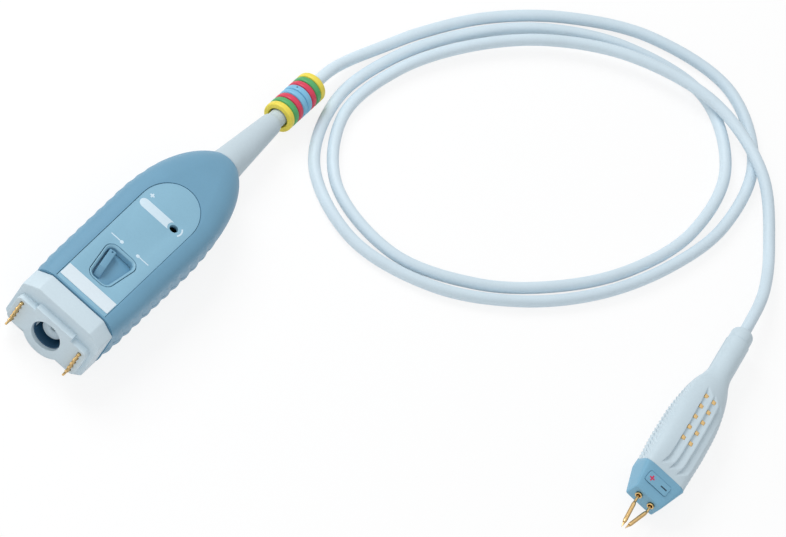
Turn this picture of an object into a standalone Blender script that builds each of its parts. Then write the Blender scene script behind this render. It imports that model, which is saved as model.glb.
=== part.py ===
"""Active differential oscilloscope probe.

An interface box with a push-on bayonet connector, ten spring contacts and a lock lever,
a moulded boot with eight marker rings, 1.18 m of cable lying in two loose loops, and a
small probe head with two sprung tip pins. +Y runs from the mating face to the boot, +X to
the right of someone who looks at the mating face, and the box stands on z = 0. All lengths
below are millimetres and all angles degrees, with y counted from the mating face. The
origin of the whole object lies on the underside, ORIGIN_Y behind that face.
"""
import math

import bmesh
import bpy
import numpy as np
from mathutils import Matrix, Vector

MM = 0.001
GAP = 0.3                      # clearance between solids that touch
ORIGIN_Y = 60.0

# ---- interface box ----
AXIS_Z = 10.5                  # height of the connector axis and of the parting plane
SEAM_Y = 12.2                  # seam between end cap and shells
FLARE_Y = 26.0                 # the front flare reaches full width here
TAPER_Y = 66.0                 # the plan outline is straight from there up to here
TAPER_LEN = 49.2               # half-length of the ellipse that closes the plan outline
REAR_Y = 111.5                 # rear rim, where the boot comes out
BOX_HALF_W = 19.2
BOX_FRONT_HALF_W = 18.5
TOP_H = 14.2                   # from the connector axis to the top
BOTTOM_H = AXIS_Z              # from the connector axis to the underside
TOP_BEND_Y, TOP_BEND_LEN = 78.0, 39.8
BOTTOM_BEND_Y, BOTTOM_BEND_LEN = 85.0, 37.9
SHELL_WALL = 2.0
REAR_HOLE_R = 5.5
SECTION_POWER_FRONT, SECTION_POWER_REAR = 4.6, 2.2
FLAT_CROWN = 1.03              # sections are drawn this much too high and cut flat
BOX_STATIONS = (18.0, FLARE_Y, 46.0, TAPER_Y, 72.0, 78.0, 84.0, 90.0, 95.0, 99.0, 102.5, 105.5,
                108.0, 110.0, REAR_Y)
REAR_WALL_Y = 109.0            # from here on the wall closes in to the boot's hole
ARC_POINTS = 19                # points on half a section
SCREW_AT = ((-13.2, 30.0), (13.2, 30.0), (-8.5, 93.0), (8.5, 93.0))
POST_R, SCREW_HOLE_R, SCREW_R, SCREW_HEAD_R = 2.6, 1.4, 1.05, 2.3
SCREW_SEAT_DEPTH, SCREW_TIP_Z = 2.4, 16.0
RIB_Y, RIB_HALF_W, RIB_THICK, RIB_TOP_Z = (54.0, 82.0), 13.0, 1.6, 7.6   # they carry the board

# ---- end cap ----
LEDGE_Y = 3.0                  # the cap's ledge stands behind the mating face
CAP_TOP_H = 13.8
CAP_TOP_HALF_W = 12.2
CAP_HALF_W = 18.1
CAP_SHOULDER_H = 10.3          # chamfer from the top ends here, above the axis
CAP_CHIN_H = 7.2               # lower chamfer starts here, below the axis
CAP_FOOT_HALF_W = 14.5
PLATEAU_TOP_H = 8.8
PLATEAU_TOP_HALF_W = 8.5
BOSS_TOP_H, BOSS_HALF_W, BOSS_BOTTOM_H = 7.0, 16.3, 6.3
LOBE_R, LOBE_JOIN_H = 10.1, 5.9
BORE_R = 6.25

# ---- connector and lock ----
SLEEVE_FRONT_Y, SLEEVE_R, SLEEVE_BORE_R = 4.3, 4.3, 3.3
CENTER_PIN_R, CENTER_BORE_R = 0.68, 1.0
FLANGE_R, FLANGE_THICK = 8.3, 2.0
SLOT_WIDTH, SLOT_LEN = 2.4, 4.5
RING_FRONT_Y, RING_R, RING_BORE_R, RING_REAR_Y = 1.6, 8.0, 5.8, 43.0
RING_REST = -18.0              # turn of the ring at rest: its peg leans towards -X
PEG_Y, PEG_R, PEG_TOP_R = 34.0, 0.9, 10.3       # the ring's peg, its top measured from the axis

# ---- lock lever: x to its right, y from its pivot to its rear end ----
PIVOT_Y, LEVER_REST = 16.0, 9.0                 # at rest its rear end points towards -X
LEVER_Z0, LEVER_Z1, FIN_TOP_Z = 19.4, 21.5, 24.5
PIVOT_POST_R, PIVOT_FLANGE_R, HUB_R, HUB_BORE_R = 1.6, 2.3, 3.2, 1.9
PIVOT_FLANGE_Z0, PIVOT_FLANGE_Z1 = 18.85, 19.15
FAN_EDGE = ((5.4, 8.0), (9.9, 23.6), (8.6, 24.9))   # right edge of the plate below the window
FIN_SIDE = ((9.9, 21.2), (10.6, 22.0), (14.2, FIN_TOP_Z), (22.9, FIN_TOP_Z), (23.6, 23.8),
            (23.6, 21.2))
FIN_THICK = 2.8
PEG_SLOT = ((-1.5, 16.2, 19.0), (1.5, 20.2, 21.15))

# ---- spring contacts ----
CONTACT_X, CONTACT_PITCH, CONTACTS = 13.7, 2.54, 5
BARREL_R, BARREL_BORE_R, PLUNGER_R = 0.65, 0.5, 0.36
BARREL_FRONT_Y, BARREL_REAR_Y, PLUNGER_FRONT_Y, PLUNGER_REAR_Y = -1.3, 10.5, -3.9, 4.6
CONTACT_HOLE_R = 0.85
CARRIER_HALF_W, CARRIER_HALF_H, CARRIER_Y = 1.6, 7.0, 3.9
CONTACT_BOARD_THICK = 0.8

# ---- label panel, lever window, adjuster ----
PANEL_HALF_W, PANEL_Y0, PANEL_ARCH_Y, PANEL_APEX_Y = 11.5, 13.2, 68.0, 83.0
PANEL_TOP_H, PANEL_THICK = 13.95, 1.2
WINDOW_Y0, WINDOW_Y1, WINDOW_FRONT_W, WINDOW_REAR_W, WINDOW_CORNER_R = 24.6, 40.6, 3.7, 6.0, 2.4
PLATE_HALF_W, PLATE_Y0, PLATE_Y1, PLATE_THICK = 11.2, 15.0, 21.2, 0.15
ADJUST_X, ADJUST_Y, ADJUST_R = 5.6, 65.0, 1.65

# ---- electronics ----
BOARD_Z0, BOARD_Z1 = 7.9, 9.5
BOARD_HALF_W, BOARD_Y0, BOARD_SHOULDER_Y, BOARD_Y1, BOARD_REAR_HALF_W = 14.0, 48.0, 76.0, 86.0, 9.0
SHIELD_X0, SHIELD_X1, SHIELD_Y0, SHIELD_Y1, SHIELD_HEIGHT = -12.0, 1.0, 50.0, 80.0, 5.0
TRIMMER_HALF, TRIMMER_TOP_Z = 3.2, 18.6
ROTOR_R, ROTOR_STEM_R, ROTOR_STEP, ROTOR_HEIGHT, ROTOR_SLOT = 2.4, 1.3, 1.2, 2.4, 0.5
LEAD_Y, LEAD_LEN, LEAD_RISE = 86.8, 17.6, 1.0
CLAMP_Y0, CLAMP_Y1, CLAMP_HALF_W, CLAMP_HALF_H = 97.0, 102.0, 5.5, 3.6

# ---- boot and marker rings ----
BOOT_YAW, BOOT_DROOP = 0.4, 2.9
BOOT_BASE_R, BOOT_END_R, NECK_R = 6.65, 4.05, 3.35
BOOT_TAPER_LEN, NECK_START, NECK_END = 34.0, 35.2, 62.8   # measured from the rear rim
BOOT_COLLAR_R, BOOT_COLLAR_LEN = 6.0, 3.5                 # it holds the boot inside the shells
MARKER_R, MARKER_BORE_R, MARKER_PITCH, MARKER_THICK, MARKER_FIRST = 6.0, 4.05, 2.9, 2.65, 38.6
MARKER_ROUND = 0.6
MARKER_DROP = 0.25             # the loose rings hang on the neck
MARKER_COLOURS = ("yellow", "green", "red", "blue", "blue", "red", "green", "yellow")

# ---- probe head: x from the tail to the nose, y to its right, z up in its own frame ----
HEAD_AT = (173.3, 222.5, 8.42)
HEAD_HEADING = 11.6            # turn of the head's axis from -Y towards +X
HEAD_ROLL = -15.0              # the head lies with its right side down
COLLAR_START, COLLAR_LEN, COLLAR_R = 4.0, 5.6, 4.3
HEAD_SEAM = 81.2               # seam between shells and nose, on the head's axis
SEAM_SLANT = 0.45              # it runs forward by this much for each mm of height
NOSE_FRONT = 93.5
HEAD_WALL = 1.5
# station along the head, half width, half height, power of the section, slant
HEAD_STATIONS = (
    (9.9, 4.6, 4.6, 2.0, 0.0), (26.0, 4.65, 4.6, 2.0, 0.0), (30.0, 5.4, 4.8, 2.0, 0.0),
    (34.0, 6.9, 5.3, 2.1, 0.0), (38.5, 8.1, 6.0, 2.2, 0.0), (44.0, 9.1, 6.8, 2.4, 0.0),
    (50.0, 9.8, 7.3, 2.6, 0.0), (57.0, 10.1, 7.6, 2.8, 0.0), (65.0, 10.15, 7.65, 3.0, 0.0),
    (74.0, 9.75, 7.2, 3.7, 0.2), (HEAD_SEAM - GAP / 2, 9.4, 6.4, 5.0, SEAM_SLANT),
)
# the same for the nose, with the height of the section's centre before the power
NOSE_STATIONS = (
    (HEAD_SEAM + GAP / 2, 9.4, 6.4, 0.0, 5.0, SEAM_SLANT), (83.2, 9.35, 6.35, 0.0, 5.0, 0.17),
    (93.0, 6.45, 3.6, -1.9, 5.5, 0.0), (NOSE_FRONT, 6.2, 3.4, -1.9, 5.0, 0.0),
)
NOSE_SLOPE = 27.5
PLATE_AT = (88.25, -0.65, 4.12)
PLATE_HALF_L, PLATE_HALF_B = 2.0, 5.05
NOSE_HOLLOW = ((77.0, -5.4, -3.6), (87.6, 5.4, 2.0))
GROOVE_Y = (-2.1, 1.5, 5.1)
GROOVE_DEPTH, GROOVE_WIDTH = 0.8, 2.5
GROOVE_STATIONS = (39.0, 44.0, 50.0, 57.0, 65.0, 74.0, 80.3)
PAD_X0, PAD_PITCH, PAD_R, PADS_PER_ROW = 43.4, 5.7, 0.8, 5
PAD_PROUD = 0.3                # the pads stand this much above the grooves' floor
PAD_STRIP_X0, PAD_STRIP_THICK, PAD_STRIP_MARGIN = 40.0, 0.8, 1.4
HEAD_BOARD = ((36.0, 5.0), (46.0, 7.0), (79.5, 7.0))      # x and half width
HEAD_BOARD_Z0, HEAD_BOARD_Z1 = -1.6, -0.4
FERRULE_X, FERRULE_LEN, FERRULE_R = 12.0, 10.0, 2.6
SOCKET_Y, SOCKET_Z, SOCKET_R, SOCKET_FLANGE_R, SOCKET_BORE_R = 2.95, -1.0, 1.15, 1.5, 0.75
SOCKET_START, FLANGE_PROUD = 84.0, 0.7
PIN_NECK_R, PIN_ELBOW, PIN_BARREL_R, PIN_BARREL_LEN, PIN_BORE_R = 0.45, 97.2, 0.8, 11.0, 0.5
PIN_START, PIN_BORE_DEPTH = 85.0, 5.2
PIN_BEND = {"left": 2.2, "right": -17.4}      # towards +y, seen from above
TIP_R, TIP_OUT, TIP_IN, TIP_POINT = 0.33, 2.6, 3.4, 1.1

# ---- cable ----
CABLE_R = 2.2
CABLE_STEPS = 80
CABLE_LEAD = 5.0               # it leaves the boot and enters the head straight
FLOOR_Z = 2.3                  # the cable's centre line where it lies on the surface
# the route's own points, from the boot to the head, chosen by hand
CABLE_ROUTE = (
    (0.8, 185.0, 6.3), (2.6, 196.0, 4.0), (6.8, 211.0, FLOOR_Z), (13.0, 229.0, FLOOR_Z),
    (26.0, 255.5, FLOOR_Z), (46.0, 280.5, FLOOR_Z), (72.5, 300.0, FLOOR_Z),
    (106.0, 306.0, FLOOR_Z), (131.0, 288.0, FLOOR_Z), (140.5, 256.0, FLOOR_Z),
    (137.2, 224.0, FLOOR_Z), (126.0, 192.0, FLOOR_Z), (108.0, 165.0, FLOOR_Z),
    (82.5, 143.5, FLOOR_Z), (50.5, 134.8, FLOOR_Z), (22.0, 147.8, FLOOR_Z),
    (9.5, 178.0, FLOOR_Z), (12.5, 210.5, FLOOR_Z), (24.5, 242.0, FLOOR_Z),
    (43.0, 269.0, FLOOR_Z), (69.5, 289.0, FLOOR_Z), (101.5, 295.5, FLOOR_Z),
    (126.0, 276.5, FLOOR_Z), (134.0, 244.0, FLOOR_Z), (128.5, 212.0, FLOOR_Z),
    (115.0, 184.0, FLOOR_Z), (93.5, 158.5, FLOOR_Z), (64.0, 142.5, FLOOR_Z),
    (32.5, 148.5, FLOOR_Z), (15.5, 174.5, FLOOR_Z), (17.0, 207.5, 3.0), (29.5, 239.0, 4.0),
    (48.5, 265.5, 4.8), (74.5, 284.5, 6.3), (107.0, 292.5, 7.4), (137.0, 282.5, 7.2),
    (157.0, 263.0, 2.7), (168.5, 241.0, 6.4),
)

# ---- colours: sRGB, roughness, metallic ----
FINISHES = {
    "blue_shell": ((0.435, 0.624, 0.737), 0.5, 0.0),
    "label_panel": ((0.475, 0.675, 0.784), 0.45, 0.0),
    "pale_shell": ((0.78, 0.84, 0.875), 0.5, 0.0),
    "pale_boot": ((0.76, 0.81, 0.845), 0.55, 0.0),
    "cable_jacket": ((0.8, 0.855, 0.89), 0.5, 0.0),
    "bare_plate": ((0.88, 0.925, 0.95), 0.5, 0.0),
    "gold": ((0.84, 0.69, 0.44), 0.25, 1.0),
    "nickel": ((0.78, 0.79, 0.78), 0.25, 1.0),
    "steel": ((0.62, 0.63, 0.64), 0.35, 1.0),
    "insulator": ((0.86, 0.88, 0.88), 0.5, 0.0),
    "circuit_board": ((0.12, 0.35, 0.2), 0.55, 0.0),
    "dark_moulding": ((0.09, 0.1, 0.12), 0.5, 0.0),
    "marker_yellow": ((0.95, 0.87, 0.35), 0.5, 0.0),
    "marker_green": ((0.36, 0.69, 0.44), 0.5, 0.0),
    "marker_red": ((0.88, 0.25, 0.37), 0.5, 0.0),
    "marker_blue": ((0.52, 0.77, 0.9), 0.5, 0.0),
}

for old in list(bpy.data.objects):
    bpy.data.objects.remove(old, do_unlink=True)

PARTS = bpy.data.collections.new("oscilloscope_probe")
CUTTERS = bpy.data.collections.new("cutters")
bpy.context.scene.collection.children.link(PARTS)
bpy.context.scene.collection.children.link(CUTTERS)

# everything hangs from this empty, which carries the mating face to y = -ORIGIN_Y
PROBE = bpy.data.objects.new("probe_frame", None)
PROBE.location = (0.0, -ORIGIN_Y * MM, 0.0)
PARTS.objects.link(PROBE)


# ------------------------------------------------------------------ helpers
def finish_material(part_name, finish):
    """One Principled material for one part."""
    colour, roughness, metallic = FINISHES[finish]
    material = bpy.data.materials.new(part_name + "_finish")
    material.use_nodes = True
    shader = material.node_tree.nodes["Principled BSDF"]
    linear = [c / 12.92 if c <= 0.04045 else ((c + 0.055) / 1.055) ** 2.4 for c in colour]
    shader.inputs["Base Color"].default_value = (*linear, 1.0)
    shader.inputs["Roughness"].default_value = roughness
    shader.inputs["Metallic"].default_value = metallic
    return material


def place(obj, finish=None, parent=None, matrix=None, smooth=35.0):
    """Link an object as a part, or as a hidden cutter when it has no finish."""
    if finish:
        PARTS.objects.link(obj)
        obj.data.materials.append(finish_material(obj.name, finish))
    else:
        CUTTERS.objects.link(obj)
        obj.hide_render = True
        obj.display_type = 'WIRE'
    obj.parent = parent or PROBE
    obj.matrix_local = matrix or Matrix()
    if smooth and obj.type == 'MESH':
        obj.data.shade_smooth()
        obj.data.set_sharp_from_angle(angle=math.radians(smooth))
    return obj


def mesh_object(name, bm):
    """Turn a bmesh in millimetres into an object in metres."""
    bmesh.ops.scale(bm, vec=(MM, MM, MM), verts=bm.verts)
    mesh = bpy.data.meshes.new(name)
    bm.to_mesh(mesh)
    bm.free()
    return bpy.data.objects.new(name, mesh)


def at(x, y, z):
    """Matrix that moves to a point in millimetres."""
    return Matrix.Translation(Vector((x, y, z)) * MM)


def along(point, direction):
    """Matrix that takes local +Z to a direction, from a point in millimetres."""
    turn = Vector((0, 0, 1)).rotation_difference(Vector(direction).normalized())
    return Matrix.Translation(Vector(point) * MM) @ turn.to_matrix().to_4x4()


def block(name, low, high, finish=None, parent=None, matrix=None):
    """Box from its lowest to its highest corner, in the frame that the matrix gives."""
    bm = bmesh.new()
    bmesh.ops.create_cube(bm, size=1.0)
    low, high = Vector(low), Vector(high)
    bmesh.ops.scale(bm, vec=high - low, verts=bm.verts)
    obj = mesh_object(name, bm)
    centre = at(*((low + high) / 2))
    return place(obj, finish, parent, (matrix or Matrix()) @ centre, smooth=None)


def rod(name, start, direction, length, radius, finish=None, parent=None, sides=16):
    """Cylinder that starts at a point and runs along a direction."""
    bm = bmesh.new()
    bmesh.ops.create_cone(bm, cap_ends=True, segments=sides, radius1=radius, radius2=radius,
                          depth=length)
    bmesh.ops.translate(bm, vec=(0, 0, length / 2), verts=bm.verts)
    return place(mesh_object(name, bm), finish, parent, along(start, direction))


def turned(name, profile, start, direction, finish=None, parent=None, steps=24, closed=False):
    """Turned piece: (radius, height) points down the outer side, spun by a Screw modifier."""
    bm = bmesh.new()
    verts = [bm.verts.new((r, 0, h)) for r, h in profile]
    for a, b in zip(verts, verts[1:]):
        bm.edges.new((a, b))
    if closed:
        bm.edges.new((verts[-1], verts[0]))
    obj = mesh_object(name, bm)
    screw = obj.modifiers.new("spin", 'SCREW')
    screw.steps = screw.render_steps = steps
    screw.use_merge_vertices = True
    screw.merge_threshold = 0.00001
    screw.use_smooth_shade = True
    return place(obj, finish, parent, along(start, direction), smooth=None)


def outline_plate(name, outline, depth0, depth1, finish=None, parent=None, matrix=None):
    """Flat outline given in its own xy plane, made solid between two depths."""
    curve = bpy.data.curves.new(name, 'CURVE')
    curve.dimensions = '2D'
    curve.fill_mode = 'BOTH'
    curve.extrude = (depth1 - depth0) / 2 * MM
    spline = curve.splines.new('POLY')
    spline.points.add(len(outline) - 1)
    for point, (x, y) in zip(spline.points, outline):
        point.co = (x * MM, y * MM, 0, 1)
    spline.use_cyclic_u = True
    flat = bpy.data.objects.new(name + "_outline", curve)
    obj = as_mesh(flat, name)
    obj.data.transform(Matrix.Translation((0, 0, (depth0 + depth1) / 2 * MM)))
    return place(obj, finish, parent, matrix, smooth=None)


def as_mesh(curve_object, name):
    """Evaluate a curve object, weld its caps, and return a mesh object in its place."""
    CUTTERS.objects.link(curve_object)
    bpy.context.view_layer.update()
    graph = bpy.context.evaluated_depsgraph_get()
    mesh = bpy.data.meshes.new_from_object(curve_object.evaluated_get(graph))
    bm = bmesh.new()
    bm.from_mesh(mesh)
    bmesh.ops.remove_doubles(bm, verts=bm.verts, dist=0.00001)
    bm.to_mesh(mesh)
    bm.free()
    mesh.name = name
    obj = bpy.data.objects.new(name, mesh)
    obj.matrix_world = curve_object.matrix_world
    bpy.data.objects.remove(curve_object)
    return obj


def loft(name, rings, finish=None, parent=None, matrix=None, smooth=35.0):
    """Solid skin through closed rings of equal point count, with flat ends."""
    bm = bmesh.new()
    rows = [[bm.verts.new(p) for p in ring] for ring in rings]
    count = len(rows[0])
    for a, b in zip(rows, rows[1:]):
        for i in range(count):
            j = (i + 1) % count
            bm.faces.new((a[i], a[j], b[j], b[i]))
    bm.faces.new(rows[0])
    bm.faces.new(rows[-1])
    bmesh.ops.recalc_face_normals(bm, faces=bm.faces)
    return place(mesh_object(name, bm), finish, parent, matrix, smooth=smooth)


def boolean(target, operation, *tools):
    """Exact boolean modifiers; cutters are parented like their target."""
    for tool in tools:
        modifier = target.modifiers.new(operation.lower() + "_" + tool.name, 'BOOLEAN')
        modifier.operation = operation
        modifier.object = tool
        modifier.solver = 'EXACT'
    return target


def arc(cx, cy, radius, start, end, points=6):
    """Points on an arc, angles in degrees."""
    angles = np.radians(np.linspace(start, end, points))
    return [(cx + radius * math.cos(a), cy + radius * math.sin(a)) for a in angles]


def rounded_corners(corners, radius, points=5):
    """Counterclockwise outline with each of its corners turned into an arc."""
    outline = []
    for i, corner in enumerate(corners):
        here = Vector(corner)
        back = (Vector(corners[i - 1]) - here).normalized()
        ahead = (Vector(corners[(i + 1) % len(corners)]) - here).normalized()
        half = back.angle(ahead) / 2
        centre = here + (back + ahead).normalized() * radius / math.sin(half)
        spoke = here + back * radius / math.tan(half) - centre
        for share in np.linspace(0.0, math.pi - 2 * half, points):
            outline.append(tuple(centre + Matrix.Rotation(share, 2) @ spoke))
    return outline


def half_section(half_w, height, power, points):
    """Half a superellipse, from +side over the crest to -side, as (across, up) points."""
    angles = np.linspace(0.0, math.pi, points)
    across = half_w * np.sign(np.cos(angles)) * np.abs(np.cos(angles)) ** (2 / power)
    up = height * np.abs(np.sin(angles)) ** (2 / power)
    up[0] = up[-1] = 0.0
    return list(zip(across, up))


def empty(name, matrix, parent=None):
    obj = bpy.data.objects.new(name, None)
    PARTS.objects.link(obj)
    obj.parent = parent or PROBE
    obj.matrix_local = matrix
    bpy.context.view_layer.update()
    return obj


# ------------------------------------------------------------------ interface box
def ellipse_drop(distance, length):
    """Cosine-like factor of an ellipse that starts to close at distance 0."""
    return math.sqrt(max(0.0, 1.0 - (max(0.0, distance) / length) ** 2))


def box_section(y):
    """Half width, height up, height down, section power and crown of the box at one station."""
    half_w = BOX_HALF_W * ellipse_drop(y - TAPER_Y, TAPER_LEN)
    if y < FLARE_Y:
        flare = math.sin((y - SEAM_Y) / (FLARE_Y - SEAM_Y) * math.pi / 2)
        half_w -= (BOX_HALF_W - BOX_FRONT_HALF_W) * (1 - flare)
    up = TOP_H * ellipse_drop(y - TOP_BEND_Y, TOP_BEND_LEN)
    down = BOTTOM_H * ellipse_drop(y - BOTTOM_BEND_Y, BOTTOM_BEND_LEN)
    blend = max(0.0, (y - TAPER_Y) / (REAR_Y - TAPER_Y))
    power = SECTION_POWER_FRONT + (SECTION_POWER_REAR - SECTION_POWER_FRONT) * blend
    crown = FLAT_CROWN + (1.0 - FLAT_CROWN) * blend
    return half_w, up, down, power, crown


def flat_topped(half_w, height, power, crown):
    """Half a section that is drawn too high by the crown and cut flat at its height."""
    drawn = half_section(half_w, height * crown, power, ARC_POINTS)
    return [(x, min(h, height)) for x, h in drawn]


def box_half(name, upward):
    """One moulded half of the box: a wall of even thickness, open at the front."""
    sign = 1 if upward else -1
    rings = []
    for y in (SEAM_Y + GAP / 2,) + BOX_STATIONS:
        half_w, up, down, power, crown = box_section(y)
        height = (up if upward else down) - GAP / 2
        outer = flat_topped(half_w, height, power, crown)
        if y > REAR_WALL_Y:
            inner = half_section(REAR_HOLE_R, REAR_HOLE_R, 2.0, ARC_POINTS)
        else:
            inner = flat_topped(half_w - SHELL_WALL, height - SHELL_WALL + GAP / 2, power, crown)
        base = AXIS_Z + sign * GAP / 2
        rings.append([(x, y, base + sign * h) for x, h in outer]
                     + [(x, y, base + sign * h) for x, h in reversed(inner)])
    return loft(name, rings, "blue_shell")


def panel_outline(grow=0.0):
    """Straight sides and front, with an arch made of half an ellipse."""
    half_w = PANEL_HALF_W + grow
    rise = PANEL_APEX_Y + grow - PANEL_ARCH_Y
    arch = [(half_w * math.cos(a), PANEL_ARCH_Y + rise * math.sin(a))
            for a in np.linspace(0, math.pi, 19)]
    return [(-half_w, PANEL_Y0 - grow), (half_w, PANEL_Y0 - grow)] + arch


def window_outline():
    """Keystone: narrow towards the connector, wide towards the boot."""
    corners = ((-WINDOW_FRONT_W, WINDOW_Y0), (WINDOW_FRONT_W, WINDOW_Y0),
               (WINDOW_REAR_W, WINDOW_Y1), (-WINDOW_REAR_W, WINDOW_Y1))
    return rounded_corners(corners, WINDOW_CORNER_R)


def make_shells():
    top = box_half("box_top_shell", True)
    bottom = box_half("box_bottom_shell", False)
    for i, (x, y) in enumerate(SCREW_AT):
        boolean(top, 'UNION', rod(f"top_post_{i}", (x, y, AXIS_Z + 0.4), (0, 0, 1), 11.0, POST_R,
                                  sides=10))
        boolean(bottom, 'UNION', rod(f"bottom_post_{i}", (x, y, 1.2), (0, 0, 1), 9.0, POST_R,
                                     sides=10))
    boolean(top, 'UNION',
            rod("pivot_post", (0, PIVOT_Y, PIVOT_FLANGE_Z0), (0, 0, 1), 4.4, PIVOT_POST_R,
                sides=12),
            rod("pivot_flange", (0, PIVOT_Y, PIVOT_FLANGE_Z0), (0, 0, 1),
                PIVOT_FLANGE_Z1 - PIVOT_FLANGE_Z0, PIVOT_FLANGE_R, sides=16))
    for i, (x, y) in enumerate(SCREW_AT):
        boolean(top, 'DIFFERENCE', rod(f"top_pilot_{i}", (x, y, AXIS_Z), (0, 0, 1), 8.5,
                                       SCREW_HOLE_R, sides=10))
        boolean(bottom, 'DIFFERENCE',
                rod(f"bottom_bore_{i}", (x, y, -1.0), (0, 0, 1), 13.0, SCREW_HOLE_R, sides=10),
                rod(f"bottom_seat_{i}", (x, y, -1.0), (0, 0, 1), SCREW_SEAT_DEPTH + 1.0,
                    SCREW_HEAD_R + GAP, sides=10))
    pocket = outline_plate("panel_pocket", panel_outline(GAP), AXIS_Z + PANEL_TOP_H - PANEL_THICK
                           - GAP, AXIS_Z + TOP_H + 1)
    window = outline_plate("shell_window", window_outline(), 18.0, 26.0)
    adjust = rod("shell_adjust_hole", (ADJUST_X, ADJUST_Y, 18.0), (0, 0, 1), 8.0, ADJUST_R,
                 sides=14)
    boolean(top, 'DIFFERENCE', pocket, window, adjust)
    for i, y in enumerate(RIB_Y):
        rib = block(f"board_rib_{i}", (-RIB_HALF_W, y, SHELL_WALL / 2),
                    (RIB_HALF_W, y + RIB_THICK, RIB_TOP_Z))
        boolean(bottom, 'UNION', rib)


def make_panel():
    top_z = AXIS_Z + PANEL_TOP_H
    panel = outline_plate("top_label_panel", panel_outline(), top_z - PANEL_THICK, top_z,
                          "label_panel")
    window = outline_plate("panel_window", window_outline(), 20.0, 27.0)
    adjust = rod("panel_adjust_hole", (ADJUST_X, ADJUST_Y, 20.0), (0, 0, 1), 7.0, ADJUST_R,
                 sides=14)
    boolean(panel, 'DIFFERENCE', window, adjust)
    block("name_plate", (-PLATE_HALF_W, PLATE_Y0, top_z + 0.1),
          (PLATE_HALF_W, PLATE_Y1, top_z + 0.1 + PLATE_THICK), "bare_plate")


def make_screws():
    """Four screws from the underside into the posts."""
    neck, face = SCREW_SEAT_DEPTH - GAP, 0.8
    profile = ((0.0, SCREW_TIP_Z), (SCREW_R, SCREW_TIP_Z - 0.6), (SCREW_R, neck),
               (SCREW_HEAD_R, neck), (SCREW_HEAD_R, face), (1.0, face), (0.0, face + 0.7))
    for i, (x, y) in enumerate(SCREW_AT):
        turned(f"housing_screw_{i + 1}", profile, (x, y, 0.0), (0, 0, 1), "steel", steps=10)


# ------------------------------------------------------------------ end cap and connector
# turn of an outline into a plane square to the connector axis: its x runs to -X, its y up
# and its depth towards the boot
UPRIGHT = Matrix(((-1, 0, 0), (0, 0, 1), (0, 1, 0))).to_4x4()


def standing(y):
    """Frame of an upright outline, centred on the connector axis."""
    return at(0, y, AXIS_Z) @ UPRIGHT


def cap_outline():
    half = [(CAP_TOP_HALF_W, CAP_TOP_H), (CAP_HALF_W, CAP_SHOULDER_H), (CAP_HALF_W, -CAP_CHIN_H),
            (CAP_FOOT_HALF_W, -AXIS_Z)]
    return half + [(-x, z) for x, z in reversed(half)]


def plateau_outline():
    """Raised mating face: two contact bosses, a higher centre and a round lobe below."""
    lobe_angle = math.degrees(math.asin(LOBE_JOIN_H / LOBE_R))
    corner = 2.0
    right = (arc(BOSS_HALF_W - corner, BOSS_TOP_H - corner, corner, 90, 0, 4)
             + arc(BOSS_HALF_W - corner, corner - BOSS_BOTTOM_H, corner, 0, -90, 4)
             + [(LOBE_R - 0.9, -BOSS_BOTTOM_H)])
    lobe = arc(0, 0, LOBE_R, -lobe_angle, lobe_angle - 180, 13)
    left = [(-x, z) for x, z in reversed(right)]
    step = [(PLATEAU_TOP_HALF_W, PLATEAU_TOP_H), (PLATEAU_TOP_HALF_W, BOSS_TOP_H)]
    return step + right + lobe + left + [(-x, z) for x, z in reversed(step)]


def contact_places(side, y):
    """Centres of one row of contacts, bottom to top."""
    return [(side * CONTACT_X, y, AXIS_Z + (i - (CONTACTS - 1) / 2) * CONTACT_PITCH)
            for i in range(CONTACTS)]


def make_end_cap():
    cap = outline_plate("end_cap", cap_outline(), 0.0, SEAM_Y - GAP / 2 - LEDGE_Y, "pale_shell",
                        matrix=standing(LEDGE_Y))
    plateau = outline_plate("cap_plateau", plateau_outline(), 0.0, LEDGE_Y + 1.0,
                            matrix=standing(0.0))
    boolean(cap, 'UNION', plateau)
    bore = rod("cap_bore", (0, -1, AXIS_Z), (0, 1, 0), 8.0, BORE_R, sides=32)
    ring_seat = rod("cap_ring_seat", (0, RING_FRONT_Y - GAP, AXIS_Z), (0, 1, 0), 12.0,
                    RING_R + GAP, sides=32)
    boolean(cap, 'DIFFERENCE', bore, ring_seat)
    for side, label in ((-1, "left"), (1, "right")):
        half_w, half_h = CARRIER_HALF_W + GAP, CARRIER_HALF_H + GAP
        low = (side * CONTACT_X - half_w, CARRIER_Y - GAP, AXIS_Z - half_h)
        high = (side * CONTACT_X + half_w, SEAM_Y + 1, AXIS_Z + half_h)
        boolean(cap, 'DIFFERENCE', block(f"cap_carrier_seat_{label}", low, high))
        for i, place_at in enumerate(contact_places(side, -1.0)):
            hole = rod(f"cap_contact_hole_{label}_{i}", place_at, (0, 1, 0), 6.0, CONTACT_HOLE_R,
                       sides=8)
            boolean(cap, 'DIFFERENCE', hole)


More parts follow.
